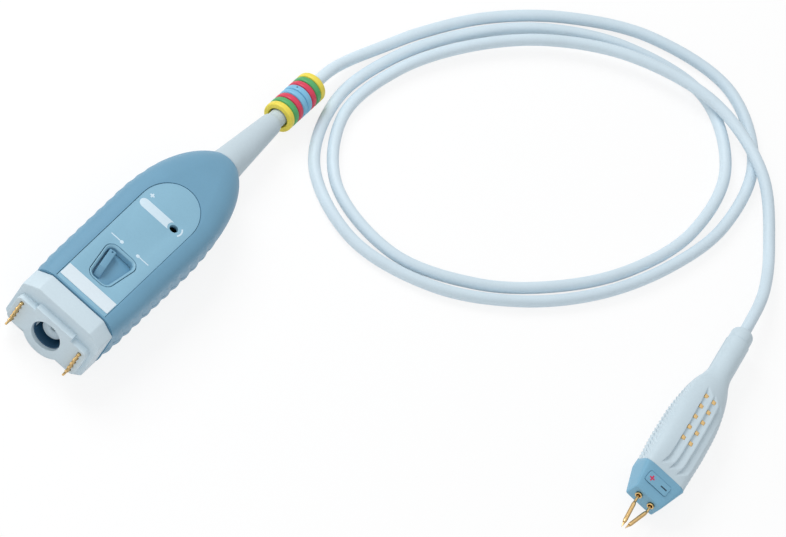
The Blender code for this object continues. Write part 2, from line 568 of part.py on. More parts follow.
def make_contacts():
    """Ten spring contacts: barrels on a board each side, and ten plungers that slide in."""
    tail_y, floor_y = BARREL_REAR_Y + 0.4, BARREL_REAR_Y - 1.6
    barrel = ((0.0, tail_y), (BARREL_R, tail_y), (BARREL_R, BARREL_FRONT_Y),
              (BARREL_BORE_R, BARREL_FRONT_Y), (BARREL_BORE_R, floor_y), (0.0, floor_y))
    plunger = ((0.0, PLUNGER_REAR_Y), (PLUNGER_R, PLUNGER_REAR_Y),
               (PLUNGER_R, PLUNGER_FRONT_Y + 0.3), (0.16, PLUNGER_FRONT_Y), (0.0, PLUNGER_FRONT_Y))
    for side, label in ((-1, "left"), (1, "right")):
        board_y = BARREL_REAR_Y - CONTACT_BOARD_THICK
        low = Vector((side * CONTACT_X - CARRIER_HALF_W, CARRIER_Y, AXIS_Z - CARRIER_HALF_H))
        high = Vector((side * CONTACT_X + CARRIER_HALF_W, board_y - 0.4, AXIS_Z + CARRIER_HALF_H))
        carrier = block(f"contact_carrier_{label}", low, high, "dark_moulding")
        board = block(f"contact_board_{label}", (low.x, board_y, low.z),
                      (high.x, BARREL_REAR_Y, high.z), "gold")
        for i, place_at in enumerate(contact_places(side, 0.0)):
            hole = rod(f"carrier_hole_{label}_{i}", place_at, (0, 1, 0), 14.0, CONTACT_HOLE_R,
                       sides=8)
            boolean(carrier, 'DIFFERENCE', hole)
            turned(f"contact_plunger_{label}_{i + 1}", plunger, place_at, (0, 1, 0), "gold",
                   steps=8)
            boolean(board, 'UNION', turned(f"contact_barrel_{label}_{i + 1}", barrel, place_at,
                                           (0, 1, 0), steps=10))


def make_connector():
    """Fixed inner part of the bayonet plug: sleeve, insulator, pin and rear body."""
    axis_start, axis = (0, 0, AXIS_Z), (0, 1, 0)
    flange_y = RING_REAR_Y + 0.6
    turned("connector_sleeve",
           ((SLEEVE_R, flange_y + FLANGE_THICK), (SLEEVE_R, SLEEVE_FRONT_Y + 0.4),
            (SLEEVE_R - 0.3, SLEEVE_FRONT_Y), (SLEEVE_BORE_R, SLEEVE_FRONT_Y),
            (SLEEVE_BORE_R, flange_y + FLANGE_THICK)),
           axis_start, axis, "pale_shell", steps=28, closed=True)
    insulator_front = SLEEVE_FRONT_Y + 0.3
    turned("connector_insulator",
           ((SLEEVE_BORE_R - 0.2, flange_y), (SLEEVE_BORE_R - 0.2, insulator_front),
            (CENTER_BORE_R, insulator_front), (CENTER_BORE_R, flange_y)),
           axis_start, axis, "insulator", steps=20, closed=True)
    turned("connector_center_pin",
           ((0.0, flange_y + 3.0), (CENTER_PIN_R, flange_y + 3.0),
            (CENTER_PIN_R, insulator_front + 0.2), (0.3, insulator_front - 0.6),
            (0.0, insulator_front - 0.6)),
           axis_start, axis, "gold", steps=10)
    turned("connector_body",
           ((FLANGE_R, flange_y + FLANGE_THICK), (FLANGE_R, flange_y),
            (SLEEVE_R + 0.2, flange_y), (SLEEVE_R + 0.2, flange_y + FLANGE_THICK)),
           axis_start, axis, "nickel", steps=20, closed=True)


def make_lock_ring():
    """Lock ring with its bayonet slots, and the peg by which the lever turns it."""
    ring = turned("lock_ring",
                  ((RING_R, RING_REAR_Y), (RING_R, RING_FRONT_Y), (RING_BORE_R, RING_FRONT_Y),
                   (RING_BORE_R, RING_REAR_Y)),
                  (0, 0, AXIS_Z), (0, 1, 0), "blue_shell", steps=32, closed=True)
    ring_frame = empty("ring_axis", at(0, 0, AXIS_Z) @ Matrix.Rotation(
        math.radians(RING_REST), 4, 'Y'))
    for label, turn in (("a", 90.0), ("b", 270.0)):
        slot = block(f"bayonet_slot_{label}",
                     (-SLOT_WIDTH / 2, RING_FRONT_Y - 1, RING_BORE_R - 1.0),
                     (SLOT_WIDTH / 2, RING_FRONT_Y + SLOT_LEN, RING_BORE_R + 1.2),
                     parent=ring_frame, matrix=Matrix.Rotation(math.radians(turn), 4, 'Y'))
        boolean(ring, 'DIFFERENCE', slot)
    root = (RING_R + RING_BORE_R) / 2
    boolean(ring, 'UNION', rod("ring_peg", (0, PEG_Y, root), (0, 0, 1), PEG_TOP_R - root, PEG_R,
                               parent=ring_frame, sides=10))


def make_lever():
    """Lever on its post in front of the window: a fan below the window and a fin to push."""
    frame = empty("lever_axis", at(0, PIVOT_Y, 0) @ Matrix.Rotation(
        math.radians(LEVER_REST), 4, 'Z'))
    fan = (arc(0, 0, HUB_R, 150, 390, 13) + list(FAN_EDGE)
           + [(-x, y) for x, y in reversed(FAN_EDGE)])
    lever = outline_plate("lock_lever", fan, LEVER_Z0, LEVER_Z1, "blue_shell", parent=frame)
    sideways = Matrix(((0, 0, 1), (1, 0, 0), (0, 1, 0))).to_4x4()
    fin = outline_plate("lever_fin", FIN_SIDE, -FIN_THICK / 2, FIN_THICK / 2, parent=frame,
                        matrix=sideways)
    boolean(lever, 'UNION', fin)
    hub_bore = rod("lever_hub_bore", (0, 0, LEVER_Z0 - 1), (0, 0, 1), 5.0, HUB_BORE_R,
                   parent=frame, sides=16)
    boolean(lever, 'DIFFERENCE', hub_bore, block("peg_slot", *PEG_SLOT, parent=frame))


# ------------------------------------------------------------------ electronics in the box
def mirrored(half):
    """Closed outline from its right half, bottom to top."""
    return list(half) + [(-x, y) for x, y in reversed(half)]


def make_electronics():
    """Board with its screened amplifier, the adjuster, and the cable's end in its clamp."""
    outline = mirrored(((BOARD_HALF_W, BOARD_Y0), (BOARD_HALF_W, BOARD_SHOULDER_Y),
                        (BOARD_REAR_HALF_W, BOARD_Y1)))
    outline_plate("main_circuit_board", outline, BOARD_Z0, BOARD_Z1, "circuit_board")
    part_z = BOARD_Z1 + GAP
    block("amplifier_shield", (SHIELD_X0, SHIELD_Y0, part_z),
          (SHIELD_X1, SHIELD_Y1, part_z + SHIELD_HEIGHT), "nickel")
    block("trimmer_body", (ADJUST_X - TRIMMER_HALF, ADJUST_Y - TRIMMER_HALF, part_z),
          (ADJUST_X + TRIMMER_HALF, ADJUST_Y + TRIMMER_HALF, TRIMMER_TOP_Z), "dark_moulding")
    stem_top, step_top = TRIMMER_TOP_Z + ROTOR_HEIGHT, TRIMMER_TOP_Z + ROTOR_STEP
    rotor = turned("trimmer_rotor",
                   ((0.0, stem_top), (ROTOR_STEM_R, stem_top), (ROTOR_STEM_R, step_top),
                    (ROTOR_R, step_top), (ROTOR_R, TRIMMER_TOP_Z + GAP),
                    (0.0, TRIMMER_TOP_Z + GAP)),
                   (ADJUST_X, ADJUST_Y, 0), (0, 0, 1), "bare_plate", steps=16)
    slot = block("rotor_slot", (ADJUST_X - 2, ADJUST_Y - ROTOR_SLOT / 2, step_top + ROTOR_SLOT),
                 (ADJUST_X + 2, ADJUST_Y + ROTOR_SLOT / 2, stem_top + 1))
    boolean(rotor, 'DIFFERENCE', slot)
    lead_z = AXIS_Z + LEAD_RISE
    rod("inner_cable_lead", (0, LEAD_Y, lead_z), (0, 1, 0), LEAD_LEN, CABLE_R, "cable_jacket",
        sides=12)
    clamp = block("cable_clamp", (-CLAMP_HALF_W, CLAMP_Y0, lead_z - CLAMP_HALF_H),
                  (CLAMP_HALF_W, CLAMP_Y1, lead_z + CLAMP_HALF_H), "steel")
    boolean(clamp, 'DIFFERENCE', rod("clamp_bore", (0, CLAMP_Y0 - 1, lead_z), (0, 1, 0), 8.0,
                                     CABLE_R + GAP, sides=14))


# ------------------------------------------------------------------ boot and marker rings
def boot_direction():
    yaw, droop = math.radians(BOOT_YAW), math.radians(BOOT_DROOP)
    return Vector((math.sin(yaw) * math.cos(droop), math.cos(yaw) * math.cos(droop),
                   -math.sin(droop)))


def boot_point(distance):
    """Point on the boot's centre line, measured from the rear rim."""
    return Vector((0, REAR_Y, AXIS_Z)) + boot_direction() * distance


def make_boot():
    """Moulded boot: collar inside the rear wall, taper outside it, and a slim neck."""
    waist_r, base, inner = REAR_HOLE_R - GAP - 0.2, 0.7, -2.9
    profile = ((0.0, NECK_END), (NECK_R - 0.5, NECK_END), (NECK_R, NECK_END - 0.5),
               (NECK_R, NECK_START + 0.4), (BOOT_END_R - 0.3, NECK_START),
               (BOOT_END_R, BOOT_TAPER_LEN), (BOOT_BASE_R - 0.5, 6.0), (BOOT_BASE_R, base + 0.5),
               (BOOT_BASE_R - 0.2, base), (waist_r, base), (waist_r, inner),
               (BOOT_COLLAR_R, inner), (BOOT_COLLAR_R, inner - BOOT_COLLAR_LEN),
               (0.0, inner - BOOT_COLLAR_LEN))
    turned("cable_boot", profile, boot_point(0), boot_direction(), "pale_boot", steps=28)


def make_marker_rings():
    half, flat_half = MARKER_THICK / 2, MARKER_THICK / 2 - MARKER_ROUND
    profile = ((MARKER_R - MARKER_ROUND, half), (MARKER_R, flat_half), (MARKER_R, -flat_half),
               (MARKER_R - MARKER_ROUND, -half), (MARKER_BORE_R, -half), (MARKER_BORE_R, half))
    for i, colour in enumerate(MARKER_COLOURS):
        centre = boot_point(MARKER_FIRST + i * MARKER_PITCH) - Vector((0, 0, MARKER_DROP))
        turned(f"marker_ring_{i + 1}_{colour}", profile, centre, boot_direction(),
               "marker_" + colour, steps=20, closed=True)


# ------------------------------------------------------------------ cable
def smooth_route(points, steps):
    """Centripetal Catmull-Rom curve through the points, sampled at even spacing."""
    known = np.array(points, float)
    padded = np.vstack((2 * known[0] - known[1], known, 2 * known[-1] - known[-2]))
    fine = []
    for p0, p1, p2, p3 in zip(padded, padded[1:], padded[2:], padded[3:]):
        t1 = np.linalg.norm(p1 - p0) ** 0.5
        t2 = t1 + np.linalg.norm(p2 - p1) ** 0.5
        t3 = t2 + np.linalg.norm(p3 - p2) ** 0.5
        t = np.linspace(t1, t2, 24, endpoint=False)[:, None]
        a1 = (t1 - t) / t1 * p0 + t / t1 * p1
        a2 = (t2 - t) / (t2 - t1) * p1 + (t - t1) / (t2 - t1) * p2
        a3 = (t3 - t) / (t3 - t2) * p2 + (t - t2) / (t3 - t2) * p3
        b1 = (t2 - t) / t2 * a1 + t / t2 * a2
        b2 = (t3 - t) / (t3 - t1) * a2 + (t - t1) / (t3 - t1) * a3
        fine.append((t2 - t) / (t2 - t1) * b1 + (t - t1) / (t2 - t1) * b2)
    fine = np.vstack(fine + [known[-1:]])
    run = np.concatenate(([0.0], np.cumsum(np.linalg.norm(np.diff(fine, axis=0), axis=1))))
    even = np.linspace(0.0, run[-1], steps)
    return np.column_stack([np.interp(even, run, fine[:, k]) for k in range(3)])


def least_gap(points, apart=6):
    """Least clear distance of the cable to itself, read on points along its straight steps."""
    shares = np.linspace(0.0, 1.0, 9)[:, None, None]
    along_steps = points[:-1] * (1 - shares) + points[1:] * shares
    step = np.tile(np.arange(len(points) - 1), len(shares))
    flat = along_steps.reshape(-1, 3)
    distance = np.linalg.norm(flat[:, None] - flat[None], axis=2)
    distance[np.abs(step[:, None] - step[None]) < apart] = np.inf
    return distance.min() - 2 * CABLE_R


def make_cable():
    """One unbroken tube from the boot's neck to the head's tail."""
    boot_end = [tuple(boot_point(NECK_END + run)) for run in (GAP, CABLE_LEAD)]
    tail_end = [tuple(Vector(HEAD_AT) + head_direction() * (COLLAR_START - run))
                for run in (CABLE_LEAD, GAP)]
    route = boot_end + list(CABLE_ROUTE) + tail_end
    points = smooth_route(route, CABLE_STEPS)
    length = np.linalg.norm(np.diff(points, axis=0), axis=1).sum()
    print(f"cable: {length:.0f} mm long, least gap to itself {least_gap(points):.2f} mm")
    curve = bpy.data.curves.new("probe_cable", 'CURVE')
    curve.dimensions = '3D'
    curve.bevel_depth = CABLE_R * MM
    curve.bevel_resolution = 2
    curve.use_fill_caps = True
    spline = curve.splines.new('POLY')
    spline.points.add(len(points) - 1)
    for point, co in zip(spline.points, points):
        point.co = (*(co * MM), 1)
    cable = bpy.data.objects.new("probe_cable", curve)
    place(cable, "cable_jacket", smooth=None)


# ------------------------------------------------------------------ probe head
def head_direction():
    heading = math.radians(HEAD_HEADING)
    return Vector((math.sin(heading), -math.cos(heading), 0.0))


def head_matrix():
    """Local x from tail to nose, y to the right, z up, then the roll about x."""
    x = head_direction()
    y = Vector((-x.y, x.x, 0.0))
    frame = Matrix((x, y, (0, 0, 1))).transposed().to_4x4()
    return at(*HEAD_AT) @ frame @ Matrix.Rotation(math.radians(HEAD_ROLL), 4, 'X')


def head_half(name, upward, frame):
    """One moulded half of the head's handle, a wall of even thickness."""
    sign = 1 if upward else -1
    rings = []
    for x, half_w, height, power, slant in HEAD_STATIONS:
        outer = half_section(half_w, height - GAP / 2, power, ARC_POINTS)
        inner = half_section(half_w - HEAD_WALL, height - HEAD_WALL, power, ARC_POINTS)
        ring = [(y, sign * (GAP / 2 + z)) for y, z in outer + inner[::-1]]
        rings.append([(x + slant * z, y, z) for y, z in ring])
    return loft(name, rings, "pale_shell", parent=frame)


def full_section(half_w, height, power, centre_z, points=32):
    angles = np.linspace(0.0, math.tau, points, endpoint=False)
    y = half_w * np.sign(np.cos(angles)) * np.abs(np.cos(angles)) ** (2 / power)
    z = centre_z + height * np.sign(np.sin(angles)) * np.abs(np.sin(angles)) ** (2 / power)
    return list(zip(y, z))


def pad_places():
    """Two rows of pads in the first two grooves."""
    return [(PAD_X0 + i * PAD_PITCH, y, 0.0) for y in GROOVE_Y[:2] for i in range(PADS_PER_ROW)]


def crown_height(x, y):
    """Height of the handle's upper surface at a place on it."""
    half_w, height, power = (np.interp(x, [s[0] for s in HEAD_STATIONS],
                                       [s[k] for s in HEAD_STATIONS]) for k in (1, 2, 3))
    return height * (1.0 - (abs(y) / half_w) ** power) ** (1.0 / power)


def groove_cutter(name, y, frame):
    """Square groove whose floor follows the handle's upper surface."""
    low, high = y - GROOVE_WIDTH / 2, y + GROOVE_WIDTH / 2
    rings = []
    for x in GROOVE_STATIONS:
        floor = crown_height(x, y) - GROOVE_DEPTH
        rings.append([(x, low, floor), (x, high, floor), (x, high, 12.0), (x, low, 12.0)])
    return loft(name, rings, parent=frame)


def make_head():
    """Two-part handle with its grooves, the board with its gold pads, collar and nose."""
    frame = empty("head_frame", head_matrix())
    upper = head_half("head_upper_shell", True, frame)
    head_half("head_lower_shell", False, frame)
    for i, y in enumerate(GROOVE_Y):
        boolean(upper, 'DIFFERENCE', groove_cutter(f"head_groove_{i}", y, frame))
    for i, (x, y, z) in enumerate(pad_places()):
        hole = rod(f"head_pad_hole_{i}", (x, y, 2.0), (0, 0, 1), 8.0, PAD_R + 0.25, parent=frame,
                   sides=8)
        boolean(upper, 'DIFFERENCE', hole)
    collar = ((0.0, COLLAR_LEN), (COLLAR_R, COLLAR_LEN), (COLLAR_R, 1.6), (COLLAR_R - 0.5, 0.5),
              (COLLAR_R - 1.4, 0.0), (0.0, 0.0))
    turned("head_tail_collar", collar, (COLLAR_START, 0, 0), (1, 0, 0), "pale_shell", parent=frame, steps=24)
    outline = mirrored([(half_w, x) for x, half_w in HEAD_BOARD])
    lengthwise = Matrix(((0, 1, 0), (1, 0, 0), (0, 0, -1))).to_4x4()
    outline_plate("head_circuit_board", outline, -HEAD_BOARD_Z1, -HEAD_BOARD_Z0, "circuit_board",
                  parent=frame, matrix=lengthwise)
    make_pads(frame)
    rod("head_cable_ferrule", (FERRULE_X, 0, 0), (1, 0, 0), FERRULE_LEN, FERRULE_R, "steel",
        parent=frame, sides=14)
    make_nose(frame)


def make_pads(frame):
    """Ten gold pads that stand on one strip and show in the first two grooves."""
    strip_end = PAD_X0 + PADS_PER_ROW * PAD_PITCH
    pads = block("head_gold_pads", (PAD_STRIP_X0, GROOVE_Y[0] - PAD_STRIP_MARGIN, 0.0),
                 (strip_end, GROOVE_Y[1] + PAD_STRIP_MARGIN, PAD_STRIP_THICK), "gold",
                 parent=frame)
    for i, place_at in enumerate(pad_places()):
        top = crown_height(*place_at[:2]) - GROOVE_DEPTH + PAD_PROUD
        profile = ((0.0, top), (PAD_R, top), (PAD_R, 0.4), (0.0, 0.4))
        stud = turned(f"pad_stud_{i}", profile, place_at, (0, 0, 1), parent=frame, steps=8)
        boolean(pads, 'UNION', stud)


def make_nose(frame):
    """Wedge-shaped nose with two sockets and the plate with the polarity signs."""
    rings = [[(x + slant * z, y, z) for y, z in full_section(half_w, height, power, centre)]
             for x, half_w, height, centre, power, slant in NOSE_STATIONS]
    nose = loft("head_nose", rings, "blue_shell", parent=frame)
    boolean(nose, 'DIFFERENCE', block("nose_hollow", *NOSE_HOLLOW, parent=frame))
    for label, side in (("left", -1), ("right", 1)):
        make_tip(frame, nose, label, side)
    slope = at(*PLATE_AT) @ Matrix.Rotation(math.radians(NOSE_SLOPE), 4, 'Y')
    half_l, half_b = PLATE_HALF_L + GAP, PLATE_HALF_B + GAP
    boolean(nose, 'DIFFERENCE', block("plate_pocket", (-half_l, -half_b, -0.5),
                                      (half_l, half_b, 3.0), parent=frame, matrix=slope))
    block("polarity_plate", (-PLATE_HALF_L, -PLATE_HALF_B, -0.2),
          (PLATE_HALF_L, PLATE_HALF_B, 0.5), "label_panel", parent=frame, matrix=slope)


def make_tip(frame, nose, label, side):
    """Socket in the nose, and a pin that swivels in it with a sprung tip in its barrel."""
    y, z = side * SOCKET_Y, SOCKET_Z
    front = NOSE_FRONT + GAP
    proud = front + FLANGE_PROUD
    boolean(nose, 'DIFFERENCE', rod(f"nose_socket_bore_{label}", (80.0, y, z), (1, 0, 0), 20.0,
                                    SOCKET_R + 0.2, parent=frame, sides=14))
    turned(f"tip_socket_{label}",
           ((SOCKET_FLANGE_R - 0.2, proud), (SOCKET_FLANGE_R, proud - 0.2),
            (SOCKET_FLANGE_R, front), (SOCKET_R, front), (SOCKET_R, SOCKET_START),
            (SOCKET_BORE_R, SOCKET_START), (SOCKET_BORE_R, proud)),
           (0, y, z), (1, 0, 0), "gold", parent=frame, steps=14, closed=True)
    swivel = empty(f"tip_{label}_axis", at(0, y, z), frame)
    pin = rod(f"tip_pin_{label}", (PIN_START, 0, 0), (1, 0, 0), PIN_ELBOW - PIN_START,
              PIN_NECK_R, "gold", parent=swivel, sides=12)
    elbow = Vector((PIN_ELBOW, 0, 0))
    bend = math.radians(PIN_BEND[label])
    direction = Vector((math.cos(bend), math.sin(bend), 0))
    mouth = elbow + direction * PIN_BARREL_LEN
    barrel = turned(f"tip_barrel_{label}",
                    ((0.0, PIN_BARREL_LEN), (PIN_BARREL_R - 0.15, PIN_BARREL_LEN),
                     (PIN_BARREL_R, PIN_BARREL_LEN - 0.6), (PIN_BARREL_R, 1.4), (PIN_NECK_R, 0.5),
                     (PIN_NECK_R, -0.35), (0.0, -0.35)),
                    elbow, direction, parent=swivel, steps=12)
    bore = rod(f"tip_bore_{label}", mouth - direction * PIN_BORE_DEPTH, direction,
               PIN_BORE_DEPTH + 1.0, PIN_BORE_R, parent=swivel, sides=12)
    boolean(pin, 'UNION', barrel)
    boolean(pin, 'DIFFERENCE', bore)
    turned(f"tip_plunger_{label}",
           ((0.0, TIP_OUT), (0.05, TIP_OUT), (TIP_R, TIP_OUT - TIP_POINT), (TIP_R, -TIP_IN),
            (0.0, -TIP_IN)),
           mouth, direction, "gold", parent=swivel, steps=8)


def main():
    make_shells()
    make_panel()
    make_screws()
    make_end_cap()
    make_contacts()
    make_connector()
    make_lock_ring()
    make_lever()
    make_electronics()
    make_boot()
    make_marker_rings()
    make_cable()
    make_head()
    bpy.context.view_layer.update()


main()
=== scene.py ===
"""Finish of an active differential oscilloscope probe.

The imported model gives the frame. This script adds what the eye sees on it: moulded shells
with wavy grips, the pale end cap, the lock window, the moulded boot with its marker rings,
the cable in its two loose loops, and the small probe head with its gold tips. Lengths in
the functions are millimetres with y counted from the mating face, as in the part's source,
and one function turns them into the frame's metres.
"""
import math

import bmesh
import bpy
import numpy as np
from bpy.props import FloatProperty, FloatVectorProperty, IntProperty, PointerProperty
from mathutils import Matrix, Vector
from mathutils.geometry import delaunay_2d_cdt


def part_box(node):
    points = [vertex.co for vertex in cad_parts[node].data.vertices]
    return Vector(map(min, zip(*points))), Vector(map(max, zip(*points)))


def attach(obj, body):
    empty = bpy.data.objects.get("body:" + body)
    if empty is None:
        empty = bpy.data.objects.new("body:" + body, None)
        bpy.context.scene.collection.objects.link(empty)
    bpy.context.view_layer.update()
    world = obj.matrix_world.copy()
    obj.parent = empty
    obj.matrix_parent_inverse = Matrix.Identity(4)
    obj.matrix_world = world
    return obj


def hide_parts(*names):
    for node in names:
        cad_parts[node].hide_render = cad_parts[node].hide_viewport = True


bl_info = {
    "name": "Oscilloscope probe finish",
    "version": (1, 0, 0),
    "blender": (4, 5, 0),
    "location": "3D View > Sidebar > Probe",
    "description": "Dresses the packed oscilloscope probe with its moulded and plated surfaces",
    "category": "Object",
}

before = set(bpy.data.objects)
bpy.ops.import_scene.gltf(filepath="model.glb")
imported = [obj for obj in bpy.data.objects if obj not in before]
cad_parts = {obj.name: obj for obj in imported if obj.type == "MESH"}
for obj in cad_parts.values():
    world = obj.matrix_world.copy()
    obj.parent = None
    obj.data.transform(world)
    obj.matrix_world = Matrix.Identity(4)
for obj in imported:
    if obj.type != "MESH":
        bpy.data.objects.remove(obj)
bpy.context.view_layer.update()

MM = 0.001
GAP = 0.3                                            # seam between neighbouring mouldings
FRONT_Y = (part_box("end_cap")[0].y) / MM              # the mating face in the frame
AXIS_Z = sum(corner.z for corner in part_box("connector_sleeve")) / 2 / MM
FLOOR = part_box("box_bottom_shell")[0].z
SHARP_ANGLE, EDGE_STEPS = 38.0, 4                    # shading breaks, points on a round edge
TOOL_EDGE, TOOL_LOW, TOOL_HIGH = 0.02, 18.0, 28.0    # tools that cut down through the top
PIXELS_PER_MM, PICTURE_W = 2.78, 786                 # the photograph's scale and width
WHITE = (1.0, 1.0, 1.0, 1.0)

# interface box, driving sizes
SEAM_Y, FLARE_Y, TAPER_Y, REAR_Y = 12.2, 26.0, 66.0, 111.5
TAPER_LEN = 49.2
BOX_HALF_W, BOX_FRONT_HALF_W, TOP_H = 19.2, 18.5, 14.2
TOP_BEND_Y, TOP_BEND_LEN = 78.0, 39.8
BOTTOM_BEND_Y, BOTTOM_BEND_LEN = 85.0, 37.9
SECTION_POWER_FRONT, SECTION_POWER_REAR, FLAT_CROWN = 4.6, 2.2, 1.03
SHELL_WALL, REAR_HOLE_R, REAR_WALL_Y = 2.0, 5.5, 109.0
SCREW_AT = ((-13.2, 30.0), (13.2, 30.0), (-8.5, 93.0), (8.5, 93.0))

# label panel and what is in it
PANEL_HALF_W, PANEL_Y0, PANEL_ARCH_Y, PANEL_APEX_Y = 11.5, 13.2, 68.0, 83.0
PANEL_TOP = AXIS_Z + 13.95
PANEL_THICK, INK_THICK, INK_EDGE = 1.2, 0.035, 0.008
NAME_PLATE = (-11.2, 11.2, 15.0, 21.2)               # x from and to, y from and to
WINDOW_CORNERS = np.array(((-3.7, 24.6), (3.7, 24.6), (6.0, 40.6), (-6.0, 40.6)))
WINDOW_CORNER_R, BEZEL_GROW, SKIRT = 2.4, 1.35, 0.4
ADJUST_X, ADJUST_Y, ADJUST_R = 5.6, 65.0, 1.65

# lock: lever in its own frame, x to its right and y from the pivot to its rear end
PIVOT_Y, LEVER_REST = 16.0, math.radians(9.0)
LEVER_FLOOR_Z, FIN_TOP_Z, FIN_THICK = 21.5, 24.5, 2.8
RING_REST, RING_R, RING_BORE_R = math.radians(-18.0), 8.0, 5.8
RING_FRONT_Y, RING_REAR_Y = 1.6, 43.0
SLEEVE_FRONT_Y, SLEEVE_R = 4.3, 4.3
CONTACT_X, CONTACT_PITCH, CONTACTS_PER_ROW, CONTACT_HOLE_R = 13.7, 2.54, 5, 0.85
BORE_R = 6.25

# boot and marker rings, measured from the rear rim along the boot
BOOT_YAW, BOOT_DROOP = math.radians(0.4), math.radians(2.9)
NECK_END = 62.8
MARKER_FIRST, MARKER_PITCH, MARKER_DROP = 38.6, 2.9, 0.25
MARKER_COLOURS = ("yellow", "green", "red", "blue", "blue", "red", "green", "yellow")
DOT_TANGENT = (0.89, 0.0, 0.45)                      # across the ring where its dot sits

# probe head, in its own frame: x from tail to nose, y to its right, z up
HEAD_AT = np.array((173.3, 222.5, 8.42))
HEAD_HEADING, HEAD_ROLL = math.radians(11.6), math.radians(-15.0)
HEAD_SEAM, SEAM_SLANT, NOSE_FRONT = 81.2, 0.45, 93.5
COLLAR_START, COLLAR_LEN, COLLAR_R = 4.0, 5.6, 4.3
HEAD_X = (9.9, 26.0, 30.0, 34.0, 38.5, 44.0, 50.0, 57.0, 65.0, 74.0, HEAD_SEAM - GAP / 2)
HEAD_HALF_W = (4.6, 4.65, 5.4, 6.9, 8.1, 9.1, 9.8, 10.1, 10.15, 9.75, 9.4)
HEAD_HALF_H = (4.6, 4.6, 4.8, 5.3, 6.0, 6.8, 7.3, 7.6, 7.65, 7.2, 6.4)
HEAD_POWER = (2.0, 2.0, 2.0, 2.1, 2.2, 2.4, 2.6, 2.8, 3.0, 3.7, 5.0)
HEAD_SLANT = (0.0, 0.0, 0.0, 0.0, 0.0, 0.0, 0.0, 0.0, 0.0, 0.2, SEAM_SLANT)
HANDLE_WALL = 1.5
GROOVE_Y, GROOVE_X0, GROOVE_X1 = (-2.1, 1.5, 5.1), 38.3, 79.8
GROOVE_STAGGER, GROOVE_RUN_OUT = 1.5, 4.0
PAD_X0, PAD_PITCH, PADS_PER_ROW = 43.4, 5.7, 5
PLATE_AT, NOSE_SLOPE = np.array((88.25, -0.65, 4.12)), math.radians(27.5)
PLATE_HALF_L, PLATE_HALF_B = 2.0, 5.05
SOCKET_Y, SOCKET_Z = 2.95, -1.0
PIN_ELBOW, PIN_BARREL_LEN, PIN_BARREL_R = 97.2, 11.0, 0.8
PIN_BEND = {"left": math.radians(2.2), "right": math.radians(-17.4)}
# cable: the route's own points from the boot to the head, listed
CABLE_R, CABLE_LEAD, REST_Z = 2.2, 5.0, 2.3
CABLE_ROUTE = (
    (0.8, 185.0, 6.3), (2.6, 196.0, 4.0), (6.8, 211.0, REST_Z), (13.0, 229.0, REST_Z),
    (26.0, 255.5, REST_Z), (46.0, 280.5, REST_Z), (72.5, 300.0, REST_Z),
    (106.0, 306.0, REST_Z), (131.0, 288.0, REST_Z), (140.5, 256.0, REST_Z),
    (137.2, 224.0, REST_Z), (126.0, 192.0, REST_Z), (108.0, 165.0, REST_Z),
    (82.5, 143.5, REST_Z), (50.5, 134.8, REST_Z), (22.0, 147.8, REST_Z),
    (9.5, 178.0, REST_Z), (12.5, 210.5, REST_Z), (24.5, 242.0, REST_Z),
    (43.0, 269.0, REST_Z), (69.5, 289.0, REST_Z), (101.5, 295.5, REST_Z),
    (126.0, 276.5, REST_Z), (134.0, 244.0, REST_Z), (128.5, 212.0, REST_Z),
    (115.0, 184.0, REST_Z), (93.5, 158.5, REST_Z), (64.0, 142.5, REST_Z),
    (32.5, 148.5, REST_Z), (15.5, 174.5, REST_Z), (17.0, 207.5, 3.0), (29.5, 239.0, 4.0),
    (48.5, 265.5, 4.8), (74.5, 284.5, 6.3), (107.0, 292.5, 7.4), (137.0, 282.5, 7.2),
    (157.0, 263.0, 2.7), (168.5, 241.0, 6.4),
)


# ------------------------------------------------------------------ settings
def linear(hex_colour):
    """sRGB hex colour, such as 0x6F9FBC, as linear red, green and blue."""
    channels = [(hex_colour >> shift & 255) / 255 for shift in (16, 8, 0)]
    return tuple(c / 12.92 if c <= 0.04045 else ((c + 0.055) / 1.055) ** 2.4 for c in channels)


def colour_property(name, description, hex_colour):
    return FloatVectorProperty(name=name, description=description, size=3, subtype='COLOR',
                               default=linear(hex_colour), min=0.0, max=1.0)


class ProbeSizes(bpy.types.PropertyGroup):
    grip_pitch: FloatProperty(name="Grip pitch", unit='LENGTH', default=6.1 * MM,
                              description="Distance between two waves of the box's grips")
    grip_depth: FloatProperty(name="Grip depth", unit='LENGTH', default=0.55 * MM,
                              description="Depth of the valleys between the waves")
    rib_pitch: FloatProperty(name="Rib pitch", unit='LENGTH', default=2.0 * MM,
                             description="Distance between two ribs on the probe head")
    rib_depth: FloatProperty(name="Rib depth", unit='LENGTH', default=0.4 * MM,
                             description="Depth of the ribs on the probe head")
    groove_depth: FloatProperty(name="Groove depth", unit='LENGTH', default=0.95 * MM,
                                description="Depth of the long grooves on top of the head")
    cable_sides: IntProperty(name="Cable sides", default=28, min=8, subtype='UNSIGNED',
                             description="Points round the cable")


class ProbeColours(bpy.types.PropertyGroup):
    shell: colour_property("Shell", "Slate-blue moulded ABS of the box and the nose", 0x6E9FBB)
    panel: colour_property("Panel", "Lighter blue of the label panel", 0x8AB8CF)
    nose: colour_property("Nose", "Blue moulding of the head's nose", 0x80B6D2)
    cap: colour_property("Cap", "Pale grey-blue moulded ABS of the cap and handle", 0xCFE0E9)
    jacket: colour_property("Jacket", "Pale cable jacket", 0xD7E8F2)
    boot: colour_property("Boot", "Slightly greyer moulding of the boot", 0xC3D2DA)
    plate: colour_property("Name plate", "Near-white bare plate", 0xDEEBF3)
    gold: colour_property("Gold", "Hard gold plating on contacts and tips", 0xF0CB8E)


